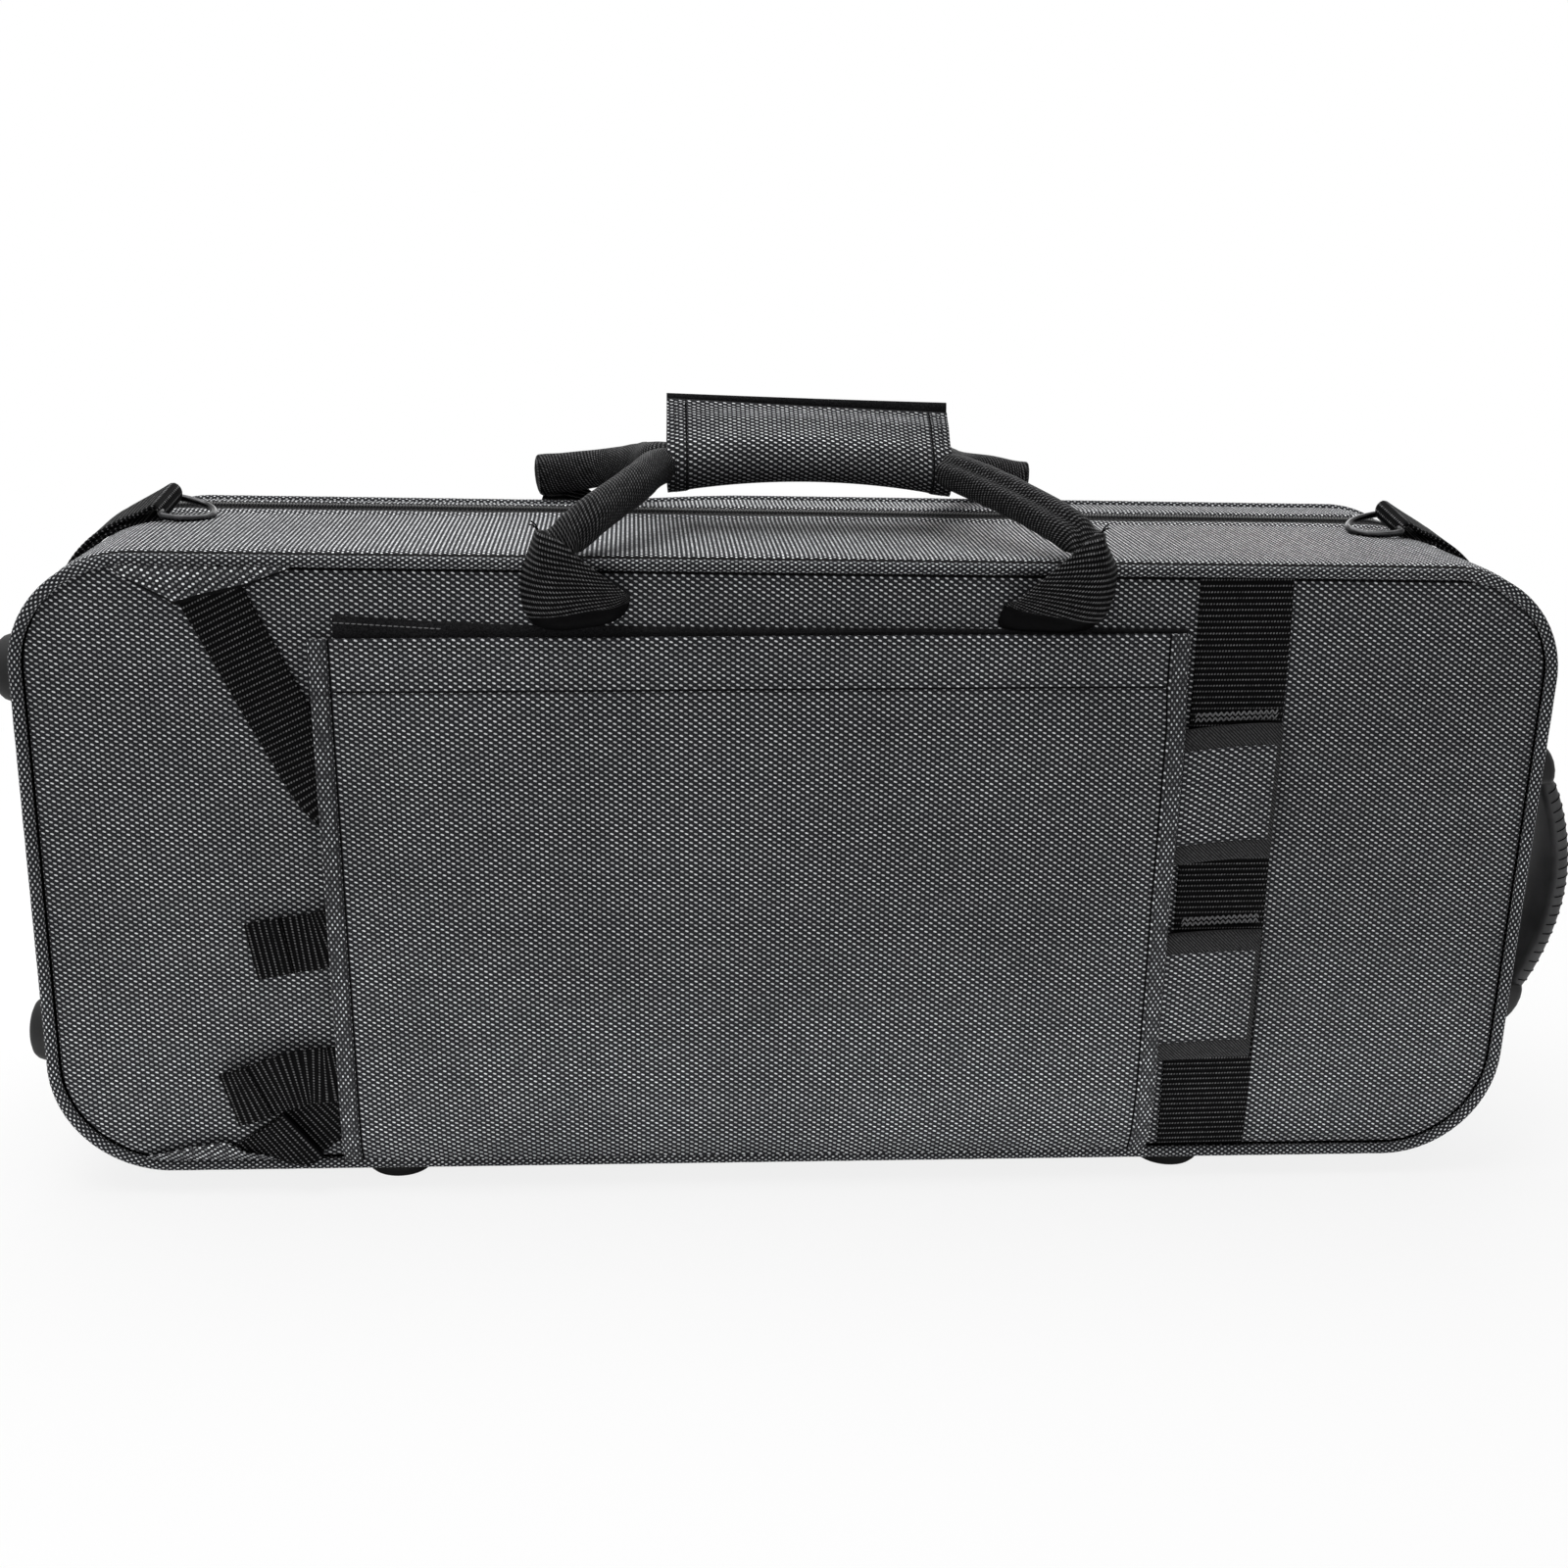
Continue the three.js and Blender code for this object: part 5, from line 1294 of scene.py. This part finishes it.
for word, side in (("left", -1), ("right", 1)):
    for handle, body, front in (("front_handle", "base", True), ("rear_handle", "lid", False)):
        add_anchor(f"{handle}_root_{word}", f"{handle}_end_{word}", front, side)
add_rope("front_handle_rope", "front_handle_webbing", "front_handle", True)
add_rope("rear_handle_rope", "rear_handle_webbing", "rear_handle", False)
add_wrap("grip_front", "grip_wrap", "front_handle", True)
add_wrap("grip_back", "grip_flap", "grip_flap", False)


# Rings and their tabs

RING_BAR = vec(343.0, 101.0, 346.2)
RING_SLOPE = 8.5
RING_TILT = 10.0
RING_TURN = 5.0
RING_WIRE = 1.9
TAB_WIDTH = 25.0
TAB_THICKNESS = 2.5


def add_ring(side, word):
    """A bent wire ring that lies with its near end low, and the webbing that holds it over the corner."""
    tilt = math.radians(RING_TILT)
    cosine, sine = direction(-side * RING_TURN)
    swing = np.array([[cosine, -sine, 0], [sine, cosine, 0], [0, 0, 1]])
    slope_cosine, slope_sine = direction(RING_SLOPE)
    reach_way = swing @ vec(-side * slope_cosine, 0, -slope_sine)
    bar_way = swing @ vec(0, math.cos(tilt), math.sin(tilt))
    bow = vec(3, 0) + vec(23.5, 16.8) * direction(np.linspace(-90, 90, 41)[1:-1])
    line = [(0.0, y) for y in np.linspace(13.0, -13.0, 12)]
    line += [(0.5, -15.0), (1.6, -16.2), *bow, (1.6, 16.2), (0.5, 15.0)]
    points = RING_BAR * vec(side, 1, 1) + np.array(line) @ np.stack([reach_way, bar_way])
    sides = np.cross(headings(points, True), unit(np.cross(bar_way, reach_way)) * side)
    rows = swept(points, sides, circle(RING_WIRE, 14), closed=True)
    piece = Piece()
    piece.grid(np.concatenate([rows, rows[:1]]), closed=True)
    piece.build(f"ring_{word}_wire", f"{word}_ring", [ring_steel], "dark_metal", [f"d_ring_{word}"])

    corner = vec(HALF_LENGTH - CORNER, HEIGHT - CORNER)
    seat = CORNER - 1.0
    top_seat = seat + 1.55 * TAB_THICKNESS + 0.2
    hub_of_loop = RING_BAR[[0, 2]] + 1.4 * direction(30)
    loop_radius = RING_WIRE + TAB_THICKNESS / 2 + 1.9
    flat = resampled(np.concatenate([corner + (seat + TAB_THICKNESS / 2) * direction(np.linspace(26, 74, 16)),
                                     hub_of_loop + loop_radius * direction(np.linspace(-62, -255, 16)),
                                     corner + top_seat * direction(np.linspace(66, 26.5, 14))]), 110)
    line = stacked(side * flat[:, 0], RING_BAR[1], flat[:, 1])
    rows = swept(line, BACK, flat_section(TAB_WIDTH, TAB_THICKNESS))
    near_loop = smooth((366 - np.abs(line[:, 0:1])) / 20)
    far_loop = smooth((392 - np.abs(line[:, 0:1])) / 30)
    aside = rows[..., 1] - RING_BAR[1]
    rows[..., 2] += aside * math.tan(2.0 * tilt) * near_loop
    rows[..., 0] -= side * aside * 0.25 * near_loop
    rows[..., 2] += (aside + TAB_WIDTH / 2) * math.tan(0.8 * tilt) * (far_loop - near_loop)
    piece = Piece()
    piece.tube(rows)
    box = vec((34, -9.5), (56, -9.5), (56, 9.5), (34, 9.5), (34, -9.5), (56, 9.5), (56, -9.5), (34, 9.5))
    hub = vec(side * corner[0], 0, corner[1])
    for start, end in zip(box[:-1], box[1:]):
        angle, across = lerp(start, end, np.linspace(0, 1, 12)[:, None]).T
        cosines, sines = direction(angle).T
        out = stacked(side * cosines, 0, sines)
        path = hub + out * (top_seat + TAB_THICKNESS / 2 + 0.1) + (RING_BAR[1] + across)[:, None] * BACK
        stitched(piece, path, out, pitch=2.8, length=2.2, radius=0.24, part=1)
    piece.build(f"ring_{word}_tab", "base", [webbing, thread], "webbing", [f"d_ring_tab_{word}"])


add_ring(-1, "left")
add_ring(1, "right")


# End handle

END_DEPTH = 42.0
END_MIDDLE = 154.0
END_HALF = 83.0
END_RISE = 21.0
END_WIDTH_HALF = 18.0
END_POINTS = 90
# A moulded end from its outer end inwards: distance, half width, lower and upper height
SOCKET = [(0.0, 18.6, 0.3, 9.0), (0.5, 19.5, 0.3, 11.6), (1.6, 20.0, 0.3, 13.6), (3.4, 20.0, 0.3, 15.6),
          (6.0, 20.0, 0.3, 17.6), (10.0, 20.0, 0.3, 19.8), (15.0, 20.0, 0.3, 21.3), (19.0, 19.9, 0.3, 21.6),
          (21.6, 19.6, 0.3, 21.2), (22.6, 19.0, 0.5, 20.6), (23.0, 18.2, 1.0, 19.8)]
STUD_PROFILE = [(0.0, -0.8), (5.0, -0.8), (5.1, 0.2), (4.8, 0.8), (4.0, 1.35), (2.8, 1.75), (1.4, 1.95),
                (0.0, 2.0)]


def rounded_profile(half_wide, half_thick, radius, turns=6):
    """A rounded rectangle, listed round."""
    inner = vec(half_wide - radius, half_thick - radius)
    quarters = (((1, 1), 0), ((-1, 1), 90), ((-1, -1), 180), ((1, -1), 270))
    return np.concatenate([inner * vec(*quarter) + radius * direction(np.linspace(start, start + 90, turns))
                           for quarter, start in quarters])


def add_end_handle():
    face_x = HALF_LENGTH - 1.2
    along = np.linspace(-1, 1, END_POINTS)
    arch = np.maximum(np.cos(math.pi / 2 * along), 0) ** 0.85
    line = stacked(face_x + 13.0 + END_RISE * arch, END_DEPTH, END_MIDDLE + (END_HALF - 14.0) * along)
    swell = 1 - 0.22 * smooth((np.abs(along) - 0.72) / 0.28)[:, None]
    across, out = rounded_profile(END_WIDTH_HALF, 5.4, 4.6).T
    out = out * (1 - 0.18 * (across / END_WIDTH_HALF) ** 2)
    piece = Piece()
    piece.tube(swept(line, BACK, stacked(across * (0.95 + 0.05 * swell), out * swell)))
    forward = headings(line)
    outward = unit(np.cross(BACK, forward))
    outward = outward * np.sign(outward[:, 0:1])
    at, whole = np.linspace(0.09, 0.91, 21), np.linspace(0, 1, END_POINTS)
    middles, sizes = read_off(at, whole, line), read_off(at, whole, swell)
    aways, runs = unit(read_off(at, whole, outward)), unit(read_off(at, whole, forward))
    arc = np.radians(np.linspace(-25, 115, 9))[:, None]
    for edge in (-BACK, BACK):
        for middle, size, away, run in zip(middles, sizes, aways, runs):
            loop = middle + edge * (13.4 + 4.9 * np.cos(arc)) + away * 5.0 * size * np.sin(arc)
            loop = loop + run * 1.2 * (arc - 0.8)
            piece.tube(swept(loop, run, circle(0.26, 8)), part=1)
    piece.build("end_handle_grip", "base", [leather, dark_thread_and_shade], "handle_leather", ["end_handle_bow"])

    for word, sign in (("low", -1), ("high", 1)):
        outer = END_MIDDLE + sign * END_HALF
        rows = []
        for inward, wide, low, high in SOCKET:
            half = (high - low) / 2
            a, b = rounded_profile(wide, half, min(half * 0.95, 4.2)).T
            rows.append(stacked(face_x + low + half + b, END_DEPTH + a, outer - sign * inward))
        piece = Piece()
        piece.tube(rows)
        piece.build(f"end_handle_socket_{word}", "base", [plastic], "black_plastic",
                    [f"end_handle_cap_{word}"])

        piece = Piece()
        middle = vec(face_x + 21.5, END_DEPTH, outer - sign * 14.5)
        piece.grid(turned(middle, RIGHT, BACK, STUD_PROFILE, 36), closed=True)
        piece.build(f"end_handle_stud_{word}", "base", [gunmetal], "dark_metal", [f"end_handle_rivet_{word}"])


add_end_handle()


# Padding inside

PAD_SEAT = 187.5


def add_lining():
    """The fitted padding keeps the shape of its solid, with every edge softened."""
    mesh = bpy.data.objects["base_insert"].data.copy()
    mesh.materials.clear()
    mesh.materials.append(plush)
    piece = add_object("fitted_padding", mesh)
    remesh = piece.modifiers.new("even", "REMESH")
    remesh.mode = "VOXEL"
    remesh.voxel_size = 0.0035
    soften = piece.modifiers.new("soften", "SMOOTH")
    soften.factor = 0.5
    soften.iterations = 6
    shaped = bpy.context.evaluated_depsgraph_get()
    final = bpy.data.meshes.new_from_object(piece.evaluated_get(shaped))
    piece.modifiers.clear()
    piece.data = final
    final.polygons.foreach_set("use_smooth", np.ones(len(final.polygons), bool))
    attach(piece, "base")
    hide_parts("base_insert")

    x, z = face_rows(19.0, 14)
    inside = edge_distance(x, z) - 19.0
    crown = 9.4 * smooth((inside + 1.5) / 10) + 0.8 * smooth(inside / 60)
    for line_x in (-180.0, 0.0, 180.0):
        crown = crown - 1.6 * hump(x, line_x, 5) * smooth(inside / 20)
    piece = Piece()
    piece.grid(stacked(x, PAD_SEAT - 0.1 - crown, z))
    piece.grid(stacked(x, PAD_SEAT, z))
    pad = piece.build("lid_lining", "lid", [plush], "plush_lining", ["lid_pad"], weld=0.2)


add_lining()


# Small hard parts keep their solids, with rounded edges

def keep(node, material, width):
    solid = bpy.data.objects[node]
    solid.data.materials.clear()
    solid.data.materials.append(material)
    bevel = solid.modifiers.new("edges", "BEVEL")
    bevel.width = width * METRE
    bevel.segments = 3
    bevel.limit_method = "ANGLE"
    bevel.angle_limit = math.radians(25)
    solid.data.polygons.foreach_set("use_smooth", np.ones(len(solid.data.polygons), bool))


for level in ("upper", "lower"):
    keep(f"{level}_slider", gunmetal, 0.35)
    keep(f"{level}_pull", gunmetal, 0.25)
    keep(f"{level}_adjuster", plastic, 0.7)


# Floor and light

FLOOR_HALF = 12.0


def add_stage():
    mesh = bpy.data.meshes.new("floor")
    corners = [(x * FLOOR_HALF, y * FLOOR_HALF, 0) for x, y in ((-1, -1), (1, -1), (1, 1), (-1, 1))]
    mesh.from_pydata(corners, [], [(0, 1, 2, 3)])
    floor = add_object("floor", mesh)
    pale = Shader("pale_floor", roughness=0.9, specular=0.1)
    pale.feed(pale.surface["Base Color"], opaque(grey(0.86, 0.0)))
    far = pale.field("VectorMath", {0: pale.place()}, output="Value", operation="LENGTH")
    share = pale.field("LightPath", output="Is Camera Ray") * far.ramp(0.5, 1.1, 0.84, 1.0)
    lit = Field(pale, pale.nodes["Principled BSDF"].outputs[0])
    mixed = pale.field("MixShader", {0: share, 1: lit, 2: pale.field("Emission", {"Strength": 1.0})})
    pale.feed(pale.nodes["Material Output"].inputs["Surface"], mixed)
    mesh.materials.append(pale.material)

    world = bpy.data.worlds.new("studio")
    bpy.context.scene.world = world
    sky = Tree(world)
    soft = sky.nodes["Background"]
    sky.feed(soft.inputs["Color"], (1, 1, 1, 1))
    sky.feed(soft.inputs["Strength"], 0.27)
    white = sky.field("Background", {"Color": (1, 1, 1, 1), "Strength": 1.0})
    seen, mirror, clear = (sky.field("LightPath", output=f"Is {ray} Ray")
                           for ray in ("Camera", "Glossy", "Transmission"))
    bright = seen.math("MAXIMUM", mirror).math("MAXIMUM", clear)
    mixed = sky.field("MixShader", {0: bright, 1: Field(sky, soft.outputs[0]), 2: white})
    sky.feed(sky.nodes["World Output"].inputs["Surface"], mixed)

    def panel(name, place, target, width, height, power):
        data = bpy.data.lights.new(name, "AREA")
        data.shape = "RECTANGLE"
        data.size = width
        data.size_y = height
        data.energy = power
        light = add_object(name, data)
        aim = (Vector(target) - Vector(place)).to_track_quat("-Z", "Y")
        light.matrix_world = Matrix.Translation(place) @ aim.to_matrix().to_4x4()
        return light

    panel("overhead_light", (-0.3, 0.25, 2.0), (0.0, 0.0, 0.2), 2.4, 1.6, 48)
    panel("front_light", (-1.2, -2.2, 1.2), (0.0, 0.0, 0.15), 2.2, 1.6, 9)
    panel("back_light", (0.6, 2.6, 1.4), (0.0, 0.0, 0.2), 2.2, 1.4, 16)
    # A low strip that lies on the floor and shines up, like a pale floor that throws light back
    floor_glow = panel("floor_glow", (0.0, -0.185, 0.004), (0.0, -0.175, 0.504), 1.3, 0.1, 0.65)
    floor_glow.visible_camera = False


add_stage()
